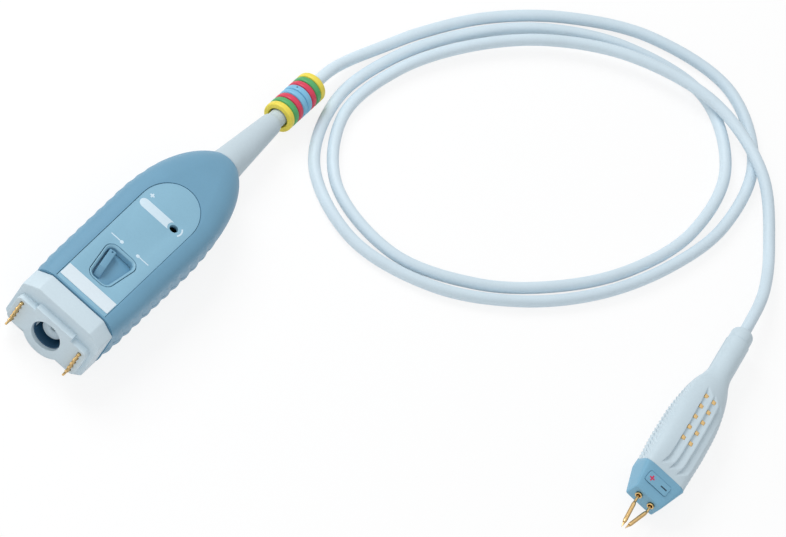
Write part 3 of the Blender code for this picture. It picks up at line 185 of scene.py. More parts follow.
# ------------------------------------------------------------------ frames and placing
def metres(points):
    """Millimetres with y from the mating face, as metres in the frame."""
    return (np.asarray(points, float) + (0.0, FRONT_Y, 0.0)) * MM


def unit(vector):
    vector = np.asarray(vector, float)
    return vector / np.linalg.norm(vector)


BOOT_DIRECTION = np.array((math.sin(BOOT_YAW) * math.cos(BOOT_DROOP),
                           math.cos(BOOT_YAW) * math.cos(BOOT_DROOP), -math.sin(BOOT_DROOP)))
HEAD_FORWARD = np.array((math.sin(HEAD_HEADING), -math.cos(HEAD_HEADING), 0.0))
HEAD_RIGHT = (math.cos(HEAD_ROLL) * np.array((-HEAD_FORWARD[1], HEAD_FORWARD[0], 0.0))
              + math.sin(HEAD_ROLL) * np.array((0.0, 0.0, 1.0)))
HEAD_UP = np.cross(HEAD_FORWARD, HEAD_RIGHT)


def boot_point(distance):
    """Point on the boot's centre line, measured from the rear rim."""
    return np.array((0.0, REAR_Y, AXIS_Z)) + BOOT_DIRECTION * distance


def on_head(points):
    """Points of the head's own frame, in the box's millimetres."""
    points = np.asarray(points, float)
    axes = np.stack((HEAD_FORWARD, HEAD_RIGHT, HEAD_UP))
    return HEAD_AT + points @ axes


def across(direction):
    """Two unit vectors square to a direction and to each other."""
    direction = unit(direction)
    helper = np.array((0.0, 0.0, 1.0)) if abs(direction[2]) < 0.9 else np.array((1.0, 0.0, 0.0))
    side = unit(np.cross(helper, direction))
    return side, np.cross(direction, side)


# ------------------------------------------------------------------ meshes from arrays
def new_object(name, data):
    obj = bpy.data.objects.new(name, data)
    bpy.context.scene.collection.objects.link(obj)
    return obj


def smoothed(mesh, sharp=SHARP_ANGLE):
    mesh.shade_smooth()
    mesh.set_sharp_from_angle(angle=math.radians(sharp))
    return mesh


def solid(name, points, faces, sharp=SHARP_ANGLE):
    """Mesh object from points in mm and faces: doubles merged, faces turned outwards."""
    mesh = bpy.data.meshes.new(name)
    mesh.from_pydata(metres(points).tolist(), [], faces)
    bm = bmesh.new()
    bm.from_mesh(mesh)
    bmesh.ops.remove_doubles(bm, verts=bm.verts, dist=2e-6)
    bmesh.ops.recalc_face_normals(bm, faces=bm.faces)
    bm.to_mesh(mesh)
    bm.free()
    return new_object(name, smoothed(mesh, sharp))


def grid_faces(rows, cols, loop=False, start=0):
    """Quads between neighbouring rows and columns of a grid whose rows are closed; loop
    joins the last row to the first."""
    index = np.arange(rows * cols).reshape(rows, cols) + start
    index = np.hstack((index, index[:, :1]))
    if loop:
        index = np.vstack((index, index[:1]))
    corners = (index[:-1, :-1], index[:-1, 1:], index[1:, 1:], index[1:, :-1])
    return np.stack(corners, axis=-1).reshape(-1, 4).tolist()


def skin(name, grid, loop=False, ends=False, sharp=SHARP_ANGLE):
    """Surface through a grid of closed rows; ends puts a flat face on the first and the
    last row."""
    rows, cols = grid.shape[:2]
    faces = grid_faces(rows, cols, loop)
    if ends:
        faces += [list(range(cols)), list(range((rows - 1) * cols, rows * cols))]
    return solid(name, grid.reshape(-1, 3), faces, sharp)


def rounded(points, radius, steps=5):
    """Open outline with its inner corners rounded: each corner becomes a quadratic curve
    that starts and ends one radius away from it, or half way along a short side."""
    points = np.asarray(points, float)
    before, corner, after = points[:-2], points[1:-1], points[2:]
    back, ahead = before - corner, after - corner
    back_len = np.linalg.norm(back, axis=1)[:, None]
    ahead_len = np.linalg.norm(ahead, axis=1)[:, None]
    radius = np.broadcast_to(np.asarray(radius, float), (len(corner),))[:, None]
    start = corner + back / back_len * np.minimum(radius, back_len * 0.49)
    end = corner + ahead / ahead_len * np.minimum(radius, ahead_len * 0.49)
    t = np.linspace(0.0, 1.0, steps)[None, :, None]
    curve = ((1 - t) ** 2 * start[:, None] + 2 * t * (1 - t) * corner[:, None]
             + t ** 2 * end[:, None])
    return np.vstack((points[:1], curve.reshape(-1, points.shape[1]), points[-1:]))


def rounded_loop(points, radius, steps=5):
    """Closed outline with every corner rounded."""
    points = np.asarray(points, float)
    wrapped = np.vstack((points[-1:], points, points[:1]))
    return rounded(wrapped, radius, steps)[1:-1]


def turned(name, profile, start, direction, steps=48, loop=False):
    """(radius, height) points carried round an axis: start + height along the axis + radius
    times the turning side vector."""
    profile = np.asarray(profile, float)
    side, up = across(direction)
    angle = np.linspace(0.0, math.tau, steps, endpoint=False)
    ring = np.cos(angle)[:, None] * side + np.sin(angle)[:, None] * up
    grid = (np.asarray(start, float) + profile[:, 1, None, None] * unit(direction)
            + profile[:, 0, None, None] * ring[None])
    return skin(name, grid, loop=loop)


def arc(cx, cy, radius, start, end, points=8):
    """Points on an arc, angles in degrees."""
    angle = np.radians(np.linspace(start, end, points))
    return np.column_stack((cx + radius * np.cos(angle), cy + radius * np.sin(angle)))


def circle(cx, cy, radius, points):
    return arc(cx, cy, radius, 0, 360, points + 1)[:-1]


def mirrored(outline):
    """The same outline on the other side of x = 0, run backwards so that the two join."""
    return outline[::-1] * (-1, 1)


def plus_sign(reach, scale):
    """Plus whose arms are two units wide and reach this many units from its middle."""
    return np.array(((-1, -reach), (1, -reach), (1, -1), (reach, -1), (reach, 1), (1, 1),
                     (1, reach), (-1, reach), (-1, 1), (-reach, 1), (-reach, -1),
                     (-1, -1))) * scale


def standing(points, x=0.0):
    """Plane points set upright round the connector's axis, their depth to the rear."""
    return np.stack((points[:, 0] + x, points[:, 2], AXIS_Z + points[:, 1]), axis=-1)


def rounded_rectangle(x0, x1, y0, y1, radius, points=9):
    return np.vstack((arc(x1 - radius, y0 + radius, radius, -90, 0, points),
                      arc(x1 - radius, y1 - radius, radius, 0, 90, points),
                      arc(x0 + radius, y1 - radius, radius, 90, 180, points),
                      arc(x0 + radius, y0 + radius, radius, 180, 270, points)))


def rounded_corners(corners, radius, points=13):
    """Anticlockwise outline with each corner turned into an arc of the radius: the arc's
    middle lies on the corner's bisector, the radius over the sine of half its angle away."""
    corners = np.asarray(corners, float)
    outline = []
    for before, here, after in zip(np.roll(corners, 1, axis=0), corners,
                                   np.roll(corners, -1, axis=0)):
        back, ahead = unit(before - here), unit(after - here)
        half = math.acos(back @ ahead) / 2
        middle = here + unit(back + ahead) * radius / math.sin(half)
        spoke = here + back * radius / math.tan(half) - middle
        turn = np.linspace(0.0, math.pi - 2 * half, points)[:, None]
        outline.append(middle + np.cos(turn) * spoke
                       + np.sin(turn) * np.array((-spoke[1], spoke[0])))
    return np.vstack(outline)


def turning_area(outline):
    """Signed area of a closed outline, positive when it runs anticlockwise."""
    x, y = outline[:, 0], outline[:, 1]
    return 0.5 * np.sum(x * np.roll(y, -1) - np.roll(x, -1) * y)


def inset(outline, distance):
    """Closed outline moved to its left: each point slides along the mean of its two side
    normals, lengthened so that both sides move by the distance."""
    ahead = np.roll(outline, -1, axis=0) - outline
    normal = np.column_stack((-ahead[:, 1], ahead[:, 0]))
    normal /= np.linalg.norm(normal, axis=1)[:, None]
    previous = np.roll(normal, 1, axis=0)
    dot = np.sum(normal * previous, axis=1)[:, None]
    return outline + distance * (normal + previous) / (1.0 + dot)


def inside(points, outlines):
    """Even-odd test: which points have an odd number of outline sides to their right."""
    crossings = np.zeros(len(points), int)
    for outline in outlines:
        x0, y0 = outline[:, 0], outline[:, 1]
        x1, y1 = np.roll(x0, -1), np.roll(y0, -1)
        px, py = points[:, 0, None], points[:, 1, None]
        spans = (y0 > py) != (y1 > py)
        run = np.where(y1 == y0, 1.0, y1 - y0)
        crossings += np.sum(spans & (px < x0 + (py - y0) / run * (x1 - x0)), axis=1)
    return crossings % 2 == 1


def plate(name, outlines, depth0, depth1, edge=0.15, hole_edge=None, to_space=None):
    """Flat piece with holes: outlines in its own plane, walls between the two depths with
    rounded edges, and both faces triangulated. to_space turns (x, y, depth) into mm."""
    loops = []
    for i, outline in enumerate(outlines):
        outline = np.asarray(outline, float)
        anticlockwise = turning_area(outline) > 0
        loops.append(outline if anticlockwise == (i == 0) else outline[::-1])
    turn = np.linspace(0.0, math.pi / 2, EDGE_STEPS)
    points, faces, caps = [], [], {0: [], 2 * EDGE_STEPS - 1: []}
    start = 0
    for i, loop in enumerate(loops):
        r = edge if i == 0 or hole_edge is None else hole_edge
        inward = np.concatenate((r * (1 - np.sin(turn)), r * (1 - np.cos(turn))))
        depth = np.concatenate((depth0 + r * (1 - np.cos(turn)),
                                depth1 - r * (1 - np.sin(turn))))
        rows = [np.column_stack((inset(loop, distance), np.full(len(loop), level)))
                for distance, level in zip(inward, depth)]
        points.append(np.vstack(rows))
        faces += grid_faces(len(rows), len(loop), start=start)
        for row in caps:
            caps[row].append((rows[row][:, :2], start + row * len(loop)))
        start += len(rows) * len(loop)
    for parts in caps.values():
        flat = np.vstack([outline for outline, _ in parts])
        number = np.concatenate([first + np.arange(len(outline)) for outline, first in parts])
        edges, first = [], 0
        for outline, _ in parts:
            count = len(outline)
            edges += [(first + k, first + (k + 1) % count) for k in range(count)]
            first += count
        found = delaunay_2d_cdt([Vector(p) for p in flat], edges, [], 1, 1e-7)
        triangles = np.array([[found[3][v][0] for v in face] for face in found[2]])
        middle = flat[triangles].mean(axis=1)
        keep = inside(middle, [outline for outline, _ in parts])
        faces += number[triangles[keep]].tolist()
    points = np.vstack(points)
    if to_space is not None:
        points = to_space(points)
    return solid(name, points, faces)


def cut(obj, *tools):
    """Exact difference with the tools, applied at once; the tools are removed."""
    for tool in tools:
        modifier = obj.modifiers.new("cut", 'BOOLEAN')
        modifier.operation = 'DIFFERENCE'
        modifier.solver = 'EXACT'
        modifier.object = tool
    bpy.context.view_layer.update()
    graph = bpy.context.evaluated_depsgraph_get()
    mesh = bpy.data.meshes.new_from_object(obj.evaluated_get(graph))
    obj.modifiers.clear()
    obj.data = smoothed(mesh)
    for tool in tools:
        bpy.data.objects.remove(tool)
    return obj


def join(name, *objs):
    """Several meshes as one piece."""
    bm = bmesh.new()
    for obj in objs:
        bm.from_mesh(obj.data)
    mesh = bpy.data.meshes.new(name)
    bm.to_mesh(mesh)
    bm.free()
    for obj in objs:
        bpy.data.objects.remove(obj)
    return new_object(name, smoothed(mesh))


def finish(obj, look, body="housing", replaces=()):
    """Give a piece its material, its body, which is the housing unless another is given, and the
    nodes that it stands for."""
    obj.data.materials.clear()
    obj.data.materials.append(MATERIALS[look])
    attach(obj, body)
    if replaces:
        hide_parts(*replaces)
    return obj


# ------------------------------------------------------------------ materials
def add(tree, kind, inputs=None, **settings):
    """Add a node: settings are its own fields, inputs are values or links by socket."""
    node = tree.nodes.new(kind)
    for field, value in settings.items():
        setattr(node, field, value)
    for socket, value in (inputs or {}).items():
        if isinstance(value, bpy.types.NodeSocket):
            tree.links.new(value, node.inputs[socket])
        else:
            node.inputs[socket].default_value = value
    return node


def new_material(name):
    """Empty Principled material: its tree, its shader and the object coordinates."""
    material = bpy.data.materials.new(name)
    material.use_nodes = True
    tree = material.node_tree
    shader = tree.nodes["Principled BSDF"]
    coordinates = add(tree, 'ShaderNodeTexCoord').outputs["Object"]
    return material, tree, shader, coordinates


def noise(tree, coordinates, size, detail, roughness):
    """Noise with features of this many millimetres."""
    return add(tree, 'ShaderNodeTexNoise', {
        "Vector": coordinates, "Scale": 1.0 / (size * MM), "Detail": detail,
        "Roughness": roughness}).outputs["Fac"]


def ranged(tree, value, low, high, to_low, to_high):
    """Value carried from one range to another."""
    return add(tree, 'ShaderNodeMapRange', {
        "Value": value, "From Min": low, "From Max": high, "To Min": to_low,
        "To Max": to_high}).outputs[0]


def mixed(tree, share, first, second):
    return add(tree, 'ShaderNodeMix', {0: share, 6: first, 7: second},
               data_type='RGBA').outputs[2]


def shade(colour, amount):
    """Colour with an alpha of 1, made darker or lighter by a factor."""
    return (*[min(1.0, c * amount) for c in colour], 1.0)


def surface(tree, shader, colour, grain, gloss, strength, depth):
    """Lead the colour to the shader, and from the grain its roughness and its relief."""
    bump = add(tree, 'ShaderNodeBump', {"Height": grain, "Strength": strength,
                                        "Distance": depth * MM})
    tree.links.new(colour, shader.inputs["Base Color"])
    tree.links.new(ranged(tree, grain, 0.3, 0.7, *gloss), shader.inputs["Roughness"])
    tree.links.new(bump.outputs[0], shader.inputs["Normal"])


def moulded_plastic(name, colour, roughness, depth):
    """Spark-eroded moulding: a fine even grain breaks up the highlight, and the resin's
    colour drifts by a few per cent over a centimetre or two."""
    drift_size, grain_size, cloud = 14.0, 0.9, 0.03
    material, tree, shader, coordinates = new_material(name)
    drift = noise(tree, coordinates, drift_size, 3.0, 0.5)
    speck = noise(tree, coordinates, grain_size, 4.0, 0.65)
    tone = add(tree, 'ShaderNodeMath', {0: drift, 1: speck}, operation='ADD').outputs[0]
    tint = mixed(tree, ranged(tree, tone, 0.7, 1.3, 0.0, 1.0), shade(colour, 1.0 - cloud),
                 shade(colour, 1.0 + cloud))
    surface(tree, shader, tint, speck, (roughness - 0.05, roughness + 0.07), 0.35, depth)
    shader.inputs["IOR"].default_value = 1.5
    return material


def plated_metal(name, colour, roughness):
    """Electroplated turned part: faint turning marks, slightly uneven gloss, and painted shade: a
    deeper colour where the surface turns away from the eye, which keeps its outline against
    white."""
    mark_size, rim_shade, relief = 0.35, 0.3, 0.01
    material, tree, shader, coordinates = new_material(name)
    marks = noise(tree, coordinates, mark_size, 3.0, 0.6)
    tint = mixed(tree, marks, shade(colour, 0.86), shade(colour, 1.08))
    # painted shade: the colour darkens towards the outline as the surface turns away from the eye
    painted_shade_share = add(tree, 'ShaderNodeLayerWeight', {"Blend": 0.3}).outputs["Facing"]
    rim = mixed(tree, painted_shade_share, tint, shade(colour, rim_shade))
    surface(tree, shader, rim, marks, (roughness * 0.8, roughness * 1.3), 0.2, relief)
    shader.inputs["Metallic"].default_value = 1.0
    return material


def make_materials():
    """Every finish of the probe, by its look."""
    colours = bpy.context.scene.probe_colours
    # look, name, colour, roughness, depth of the grain in mm
    plastics = (
        ("blue_shell", "abs_slate_blue_spark_eroded", colours.shell, 0.46, 0.02),
        ("label_panel", "abs_light_blue_satin", colours.panel, 0.4, 0.01),
        ("pale_shell", "abs_pale_grey_blue", colours.cap, 0.45, 0.02),
        ("pale_boot", "tpe_pale_boot", colours.boot, 0.55, 0.02),
        ("cable_jacket", "pvc_pale_jacket", colours.jacket, 0.48, 0.015),
        ("bare_plate", "printed_white_plate", colours.plate, 0.5, 0.005),
        ("circuit_board", "solder_mask_green", linear(0x1F5A36), 0.4, 0.02),
        ("dark_moulding", "glass_filled_black_nylon", linear(0x1A1C20), 0.5, 0.02),
        ("marker_yellow", "silicone_yellow", linear(0xF0DC50), 0.42, 0.02),
        ("marker_green", "silicone_green", linear(0x52AB68), 0.42, 0.02),
        ("marker_red", "silicone_red", linear(0xDC3A58), 0.42, 0.02),
        ("marker_blue", "silicone_light_blue", linear(0x7FC0E2), 0.42, 0.02),
        ("print_white", "pad_printed_white_ink", linear(0xD5E9F5), 0.5, 0.004),
        ("nose_blue", "abs_nose_blue", colours.nose, 0.42, 0.01),
        # deep blue darkened almost to black: on the lock ring it is partly the ring's own blue
        # and partly painted shade for the dark bore
        ("deep_blue", "abs_deep_blue", linear(0x1D4A68), 0.5, 0.02),
        ("print_red", "pad_printed_red_ink", linear(0xD8305E), 0.5, 0.004),
        ("print_dark", "pad_printed_dark_ink", linear(0x16384A), 0.5, 0.004),
    )
    metals = (
        ("gold", "hard_gold_plating", colours.gold, 0.24),
        ("nickel", "satin_nickel_plating", linear(0xC9CDCC), 0.3),
        ("steel", "zinc_plated_steel", linear(0x9EA1A4), 0.36),
    )
    finishes = {look: moulded_plastic(*settings) for look, *settings in plastics}
    finishes.update({look: plated_metal(*settings) for look, *settings in metals})
    return finishes


MATERIALS = {}


# ------------------------------------------------------------------ sections
def ellipse_drop(distance, length):
    """Half width of an ellipse of half length `length`, as a share, past its middle."""
    return np.sqrt(np.maximum(0.0, 1.0 - (np.maximum(0.0, distance) / length) ** 2))


def section(half_w, height, power, angle):
    """Superellipse by the direction from its middle, which spaces its points evenly: the
    distance is (|cos|^power + |sin|^power)^(-1/power)."""
    reach = (np.abs(np.cos(angle)) ** power + np.abs(np.sin(angle)) ** power) ** (-1 / power)
    return half_w * reach * np.cos(angle), height * reach * np.sin(angle)


def smooth_through(x, values, at):
    """Monotone cubic through known stations: Hermite curves whose slopes are the harmonic
    mean of their neighbours, and zero where the values turn."""
    x, values, at = np.asarray(x, float), np.asarray(values, float), np.asarray(at, float)
    step = np.diff(x)
    slope = np.diff(values) / step
    same = slope[1:] * slope[:-1] > 0
    total = np.where(same, slope[1:] + slope[:-1], 1.0)
    inner = np.where(same, 2 * slope[1:] * slope[:-1] / total, 0.0)
    tangent = np.concatenate((slope[:1], inner, slope[-1:]))
    k = np.clip(np.searchsorted(x, at) - 1, 0, len(step) - 1)
    t = np.clip((at - x[k]) / step[k], 0.0, 1.0)
    return ((2 * t ** 3 - 3 * t ** 2 + 1) * values[k]
            + (t ** 3 - 2 * t ** 2 + t) * step[k] * tangent[k]
            + (3 * t ** 2 - 2 * t ** 3) * values[k + 1]
            + (t ** 3 - t ** 2) * step[k] * tangent[k + 1])


def smooth_step(value, low, high):
    """0 below low, 1 above high, and a smooth rise between them."""
    t = np.clip((value - low) / (high - low), 0.0, 1.0)
    return t * t * (3 - 2 * t)


# ------------------------------------------------------------------ interface box
def box_stations(y):
    """Half width, height up, height down, section power and crown along the box."""
    half_w = BOX_HALF_W * ellipse_drop(y - TAPER_Y, TAPER_LEN)
    flare = np.sin(np.clip((y - SEAM_Y) / (FLARE_Y - SEAM_Y), 0.0, 1.0) * math.pi / 2)
    half_w = half_w - (BOX_HALF_W - BOX_FRONT_HALF_W) * (1 - flare)
    up = TOP_H * ellipse_drop(y - TOP_BEND_Y, TOP_BEND_LEN)
    down = AXIS_Z * ellipse_drop(y - BOTTOM_BEND_Y, BOTTOM_BEND_LEN)
    blend = np.clip((y - TAPER_Y) / (REAR_Y - TAPER_Y), 0.0, 1.0)
    power = SECTION_POWER_FRONT + (SECTION_POWER_REAR - SECTION_POWER_FRONT) * blend
    crown = FLAT_CROWN + (1.0 - FLAT_CROWN) * blend
    return half_w, up, down, power, crown


def grip_waves(y, height):
    """Inward depth of the wavy grip: scallops along the box that lean forwards with height.
    Deep below the parting plane, they fade out well above it and at both ends."""
    sizes = bpy.context.scene.probe_sizes
    phase = (y + 0.65 * height) / (sizes.grip_pitch / MM)
    valley = 1.0 - np.abs(np.sin(math.pi * phase)) ** 1.1
    strength = 1.0 - smooth_step(height, 7.0, 10.5)
    ends = smooth_step(y, SEAM_Y - 0.5, SEAM_Y + 3.0) * (1.0 - smooth_step(y, 78.0, 90.0))
    low = smooth_step(height, -9.5, -7.0)
    return sizes.grip_depth / MM * valley * strength * ends * low


def box_half(name, upward):
    """One half of the box: outer section with the grips, then the inner wall, lofted from
    the seam to the rear rim where the wall closes in on the boot's hole."""
    sign = 1.0 if upward else -1.0
    y = np.concatenate((np.linspace(SEAM_Y + GAP / 2, REAR_WALL_Y, 260),
                        np.linspace(REAR_WALL_Y + 0.3, REAR_Y, 10)))
    angle = np.linspace(0.0, math.pi, 121)
    half_w, up, down, power, crown = (s[:, None] for s in box_stations(y))
    height = (up if upward else down) - GAP / 2
    wide, high = section(half_w, height * crown, power, angle[None])
    high = np.minimum(high, height)
    side = np.sign(wide) * smooth_step(np.abs(wide) / half_w, 0.8, 0.93)
    outer_x = wide - side * grip_waves(y[:, None], sign * high)
    inner_w, inner_h = section(half_w - SHELL_WALL, (height - SHELL_WALL) * crown, power,
                               angle[None])
    inner_h = np.minimum(inner_h, height - SHELL_WALL + GAP / 2)
    hole_w, hole_h = section(REAR_HOLE_R, REAR_HOLE_R, 2.0, angle[None])
    at_wall = (y > REAR_WALL_Y)[:, None]
    inner_w = np.where(at_wall, hole_w, inner_w)
    inner_h = np.where(at_wall, hole_h, inner_h)
    x = np.hstack((outer_x, inner_w[:, ::-1]))
    z = AXIS_Z + sign * (GAP / 2 + np.hstack((high, inner_h[:, ::-1])))
    grid = np.stack((x, np.broadcast_to(y[:, None], x.shape), z), axis=-1)
    return skin(name, grid, ends=True)


def panel_outline(grow=0.0):
    """Straight sides and front, with an arch of half an ellipse behind."""
    half_w = PANEL_HALF_W + grow
    angle = np.linspace(0.0, math.pi, 49)
    arch = np.column_stack((half_w * np.cos(angle),
                            PANEL_ARCH_Y + (PANEL_APEX_Y + grow - PANEL_ARCH_Y) * np.sin(angle)))
    front = [(-half_w, PANEL_Y0 - grow), (half_w, PANEL_Y0 - grow)]
    return np.vstack((front, arch))


def make_shells():
    top = box_half("upper_shell", True)
    bottom = box_half("lower_shell", False)
    pocket = plate("pocket_tool", [panel_outline(GAP / 2)], PANEL_TOP - PANEL_THICK - GAP,
                   AXIS_Z + TOP_H + 2.0, edge=TOOL_EDGE)
    window = plate("window_tool", [window_outline(SKIRT + 0.05)], TOOL_LOW, TOOL_HIGH,
                   edge=TOOL_EDGE)
    adjust = turned("adjust_tool", ((0, TOOL_LOW), (ADJUST_R, TOOL_LOW), (ADJUST_R, TOOL_HIGH),
                                    (0, TOOL_HIGH)), (ADJUST_X, ADJUST_Y, 0), (0, 0, 1))
    cut(top, pocket, window, adjust)
    seats = [turned(f"seat_tool_{i}", ((0, -1), (2.6, -1), (2.6, 2.4), (1.4, 2.4), (1.4, 6),
                                       (0, 6)), (x, y, 0), (0, 0, 1))
             for i, (x, y) in enumerate(SCREW_AT)]
    cut(bottom, *seats)
    finish(top, "blue_shell", replaces=["box_top_shell"])
    finish(bottom, "blue_shell", replaces=["box_bottom_shell"])


def window_outline(grow):
    """Keystone with round corners, every side moved outwards by the same distance."""
    return rounded_corners(inset(WINDOW_CORNERS, -grow), WINDOW_CORNER_R + grow)


def make_panel():
    """Label panel with its bezelled window and the bare plate."""
    low, high = PANEL_TOP - PANEL_THICK, PANEL_TOP
    adjust = circle(ADJUST_X, ADJUST_Y, ADJUST_R, 40)
    panel = plate("label_panel", [panel_outline(), window_outline(BEZEL_GROW), adjust], low,
                  high, edge=0.14)
    finish(panel, "label_panel", replaces=["top_label_panel"])
    foot = LEVER_FLOOR_Z + 0.15
    profile = rounded(((BEZEL_GROW - 0.25, low), (BEZEL_GROW - 0.25, high), (0.75, high + 0.12),
                       (0.0, high - 0.55), (0.0, foot), (SKIRT, foot), (SKIRT, low)),
                      (0.3, 0.3, 0.3, 0.1, 0.1), 6)
    rows = [np.pad(window_outline(grow), ((0, 0), (0, 1)), constant_values=height)
            for grow, height in profile]
    bezel = skin("window_bezel", np.stack(rows), loop=True)
    finish(bezel, "label_panel")
    name_plate = plate("bare_name_plate", [rounded_rectangle(*NAME_PLATE, 0.3, 4)],
                       PANEL_TOP + 0.02, PANEL_TOP + 0.2, edge=0.05)
    finish(name_plate, "bare_plate", replaces=["name_plate"])


def make_print():
    """White ink on the panel: a pill beside the adjuster, a plus, an arc round the hole, and
    a dot with a line for each place of the lever."""
    low, high = PANEL_TOP + 0.005, PANEL_TOP + INK_THICK
    pill = np.vstack((arc(ADJUST_X, ADJUST_Y, 2.6, 233, 127, 11),
                      arc(-8.3, ADJUST_Y, 2.08, 90, 270, 13)))
    bow = np.vstack((arc(ADJUST_X, ADJUST_Y, 3.5, -32, 44, 13),
                     arc(ADJUST_X, ADJUST_Y, 2.9, 44, -32, 13)))
    shapes = [pill, plus_sign(3, 0.32) + (-8.4, 69.8), bow]
    for side in (-1, 1):
        dot = (side * 3.85, 44.4)
        line = rounded_rectangle(0.78, 5.0, -0.22, 0.22, 0.1, 3) * (side, 1) + dot
        shapes += [circle(*dot, 0.75, 24), line]
    inks = [plate(f"ink_{i}", [shape], low, high, edge=INK_EDGE)
            for i, shape in enumerate(shapes)]
    finish(join("panel_print", *inks), "print_white")


def on_lever(points):
    """Points of the lever's own frame, in the box's millimetres."""
    x, y, z = np.moveaxis(np.asarray(points, float), -1, 0)
    turn, lean = math.cos(LEVER_REST), math.sin(LEVER_REST)
    return np.stack((x * turn - y * lean, PIVOT_Y + x * lean + y * turn, z), axis=-1)


def make_lever():
    """Lever below the window: a fan that fills it and a fin to push, with a dimple on top."""
    edge = np.array(((5.4, 8.0), (9.9, 23.6), (8.6, 24.9)))
    outline = np.vstack((arc(0, 0, 3.2, 150, 390, 21), edge, mirrored(edge)))
    hub = circle(0, 0, 1.9, 32)
    fan = plate("fan", [outline, hub], 19.4, LEVER_FLOOR_Z, edge=0.2, to_space=on_lever)
    side = rounded_corners(((9.3, 20.7), (23.6, 20.7), (23.6, FIN_TOP_Z), (14.3, FIN_TOP_Z)),
                           0.8)
    fin = plate("fin", [side], -FIN_THICK / 2, FIN_THICK / 2, edge=0.4,
                to_space=lambda p: on_lever(np.stack((p[:, 2], p[:, 0], p[:, 1]), axis=-1)))
    dimple = turned("dimple", ((0.0, 24.0), (0.4, 24.0), (0.45, 25.0), (0.0, 25.0)),
                    on_lever((0.0, 22.3, 0.0)), (0, 0, 1), steps=20)
    cut(fin, dimple)
    finish(join("lever_fan_and_fin", fan, fin), "blue_shell", "lever",
           ["lock_lever"])


def make_lock_ring():
    """Lock ring: two bayonet slots in its mouth and the peg that the lever carries along."""
    profile = rounded(((6.9, RING_REAR_Y), (RING_R, RING_REAR_Y), (RING_R, RING_FRONT_Y),
                       (RING_BORE_R, RING_FRONT_Y), (RING_BORE_R, RING_REAR_Y),
                       (6.9, RING_REAR_Y)), 0.35, 5)[:-1]
    ring = turned("ring", profile, (0, 0, AXIS_Z), (0, 1, 0), steps=96, loop=True)
    radial = np.array((math.sin(RING_REST), 0.0, math.cos(RING_REST)))
    sideways = np.array((radial[2], 0.0, -radial[0]))
    slots = [plate(f"slot_{turn}", [rounded_rectangle(-1.2, 1.2, 2.5, 8.0, 0.6)], 4.8, 7.0,
                   to_space=lambda p, turn=turn: (p[:, :1] * radial + p[:, 2:] * sideways * turn
                                                  + p[:, 1:2] * (0, 1, 0) + (0, 0, AXIS_Z)))
             for turn in (-1, 1)]
    cut(ring, *slots)
    peg = turned("peg", ((0.0, 10.3), (0.7, 10.3), (0.9, 10.0), (0.9, 7.5), (0.0, 7.5)),
                 (0.0, 34.0, AXIS_Z), radial, steps=24)
    # the ring's blue is darkened to near black: painted shade for the shadowed gap in the bore,
    # over the ring's own blue
    finish(join("lock_ring_body", ring, peg), "deep_blue", "lock", ["lock_ring"])


def make_connector():
    """Pale shroud with a dished face round the centre contact, set back in the bore."""
    rear, face = 45.6, SLEEVE_FRONT_Y
    profile = rounded(((2.5, rear), (SLEEVE_R, rear), (SLEEVE_R, face), (2.2, face),
                       (1.0, face + 0.5), (1.0, rear), (2.5, rear)), (0.1, 0.5, 0.6, 0.3, 0.1),
                      6)[:-1]
    shroud = turned("connector_shroud", profile, (0, 0, AXIS_Z), (0, 1, 0), steps=72, loop=True)
    finish(shroud, "pale_shell",
           replaces=["connector_sleeve", "connector_insulator"])
    pin = rounded(((0.0, face + 1.6), (0.68, face + 1.6), (0.68, 46.6), (0.0, 46.6)),
                  (0.5, 0.1), 6)
    contact = turned("centre_contact", pin, (0, 0, AXIS_Z), (0, 1, 0), steps=28)
    finish(contact, "gold", replaces=["connector_center_pin"])


def make_contacts():
    """Ten spring contacts: a row of barrels on its small board each side, and plungers with
    blunt ends that slide in them."""
    barrel = rounded(((0.0, 10.9), (0.65, 10.9), (0.65, -1.3), (0.5, -1.3), (0.5, 8.9),
                      (0.0, 8.9)), (0.1, 0.12, 0.04, 0.05), 4)
    plunger = rounded(((0.0, 4.6), (0.46, 4.6), (0.46, -3.9), (0.0, -3.9)), (0.1, 0.25), 5)
    for side, label in ((-1, "left"), (1, "right")):
        places = [(side * CONTACT_X, 0.0, AXIS_Z + (i - 2) * CONTACT_PITCH)
                  for i in range(CONTACTS_PER_ROW)]
        row = [turned(f"barrel_{i}", barrel, place, (0, 1, 0), steps=24)
               for i, place in enumerate(places)]
        board = plate("board", [rounded_rectangle(-1.6, 1.6, -7.0, 7.0, 0.4)], 9.7, 10.5,
                      to_space=lambda p, side=side: standing(p, side * CONTACT_X))
        finish(join(f"contact_barrels_{label}", *row, board), "gold",
               replaces=[f"contact_board_{label}"])
        for i, place in enumerate(places):
            name = f"contact_{label}_{i + 1}"
            finish(turned(f"{name}_plunger", plunger, place, (0, 1, 0), steps=24), "gold", name,
                   [f"contact_plunger_{label}_{i + 1}"])


def make_adjuster():
    """Slotted rotor of the adjuster, deep in its hole."""
    low, high = (corner.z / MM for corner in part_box("trimmer_rotor"))
    profile = rounded(((0.0, low), (2.4, low), (2.4, low + 0.9), (1.3, low + 0.9), (1.3, high),
                       (0.0, high)), (0.2, 0.2, 0.1, 0.2), 4)
    rotor = turned("rotor", profile, (ADJUST_X, ADJUST_Y, 0), (0, 0, 1), steps=40)
    slot = plate("slot", [rounded_rectangle(ADJUST_X - 2, ADJUST_X + 2, ADJUST_Y - 0.25,
                                            ADJUST_Y + 0.25, 0.05, 2)], high - 0.7, high + 1.0,
                 edge=TOOL_EDGE)
    cut(rotor, slot)
    rotor.name = "adjuster_rotor"
    finish(rotor, "deep_blue", "trimmer", ["trimmer_rotor"])


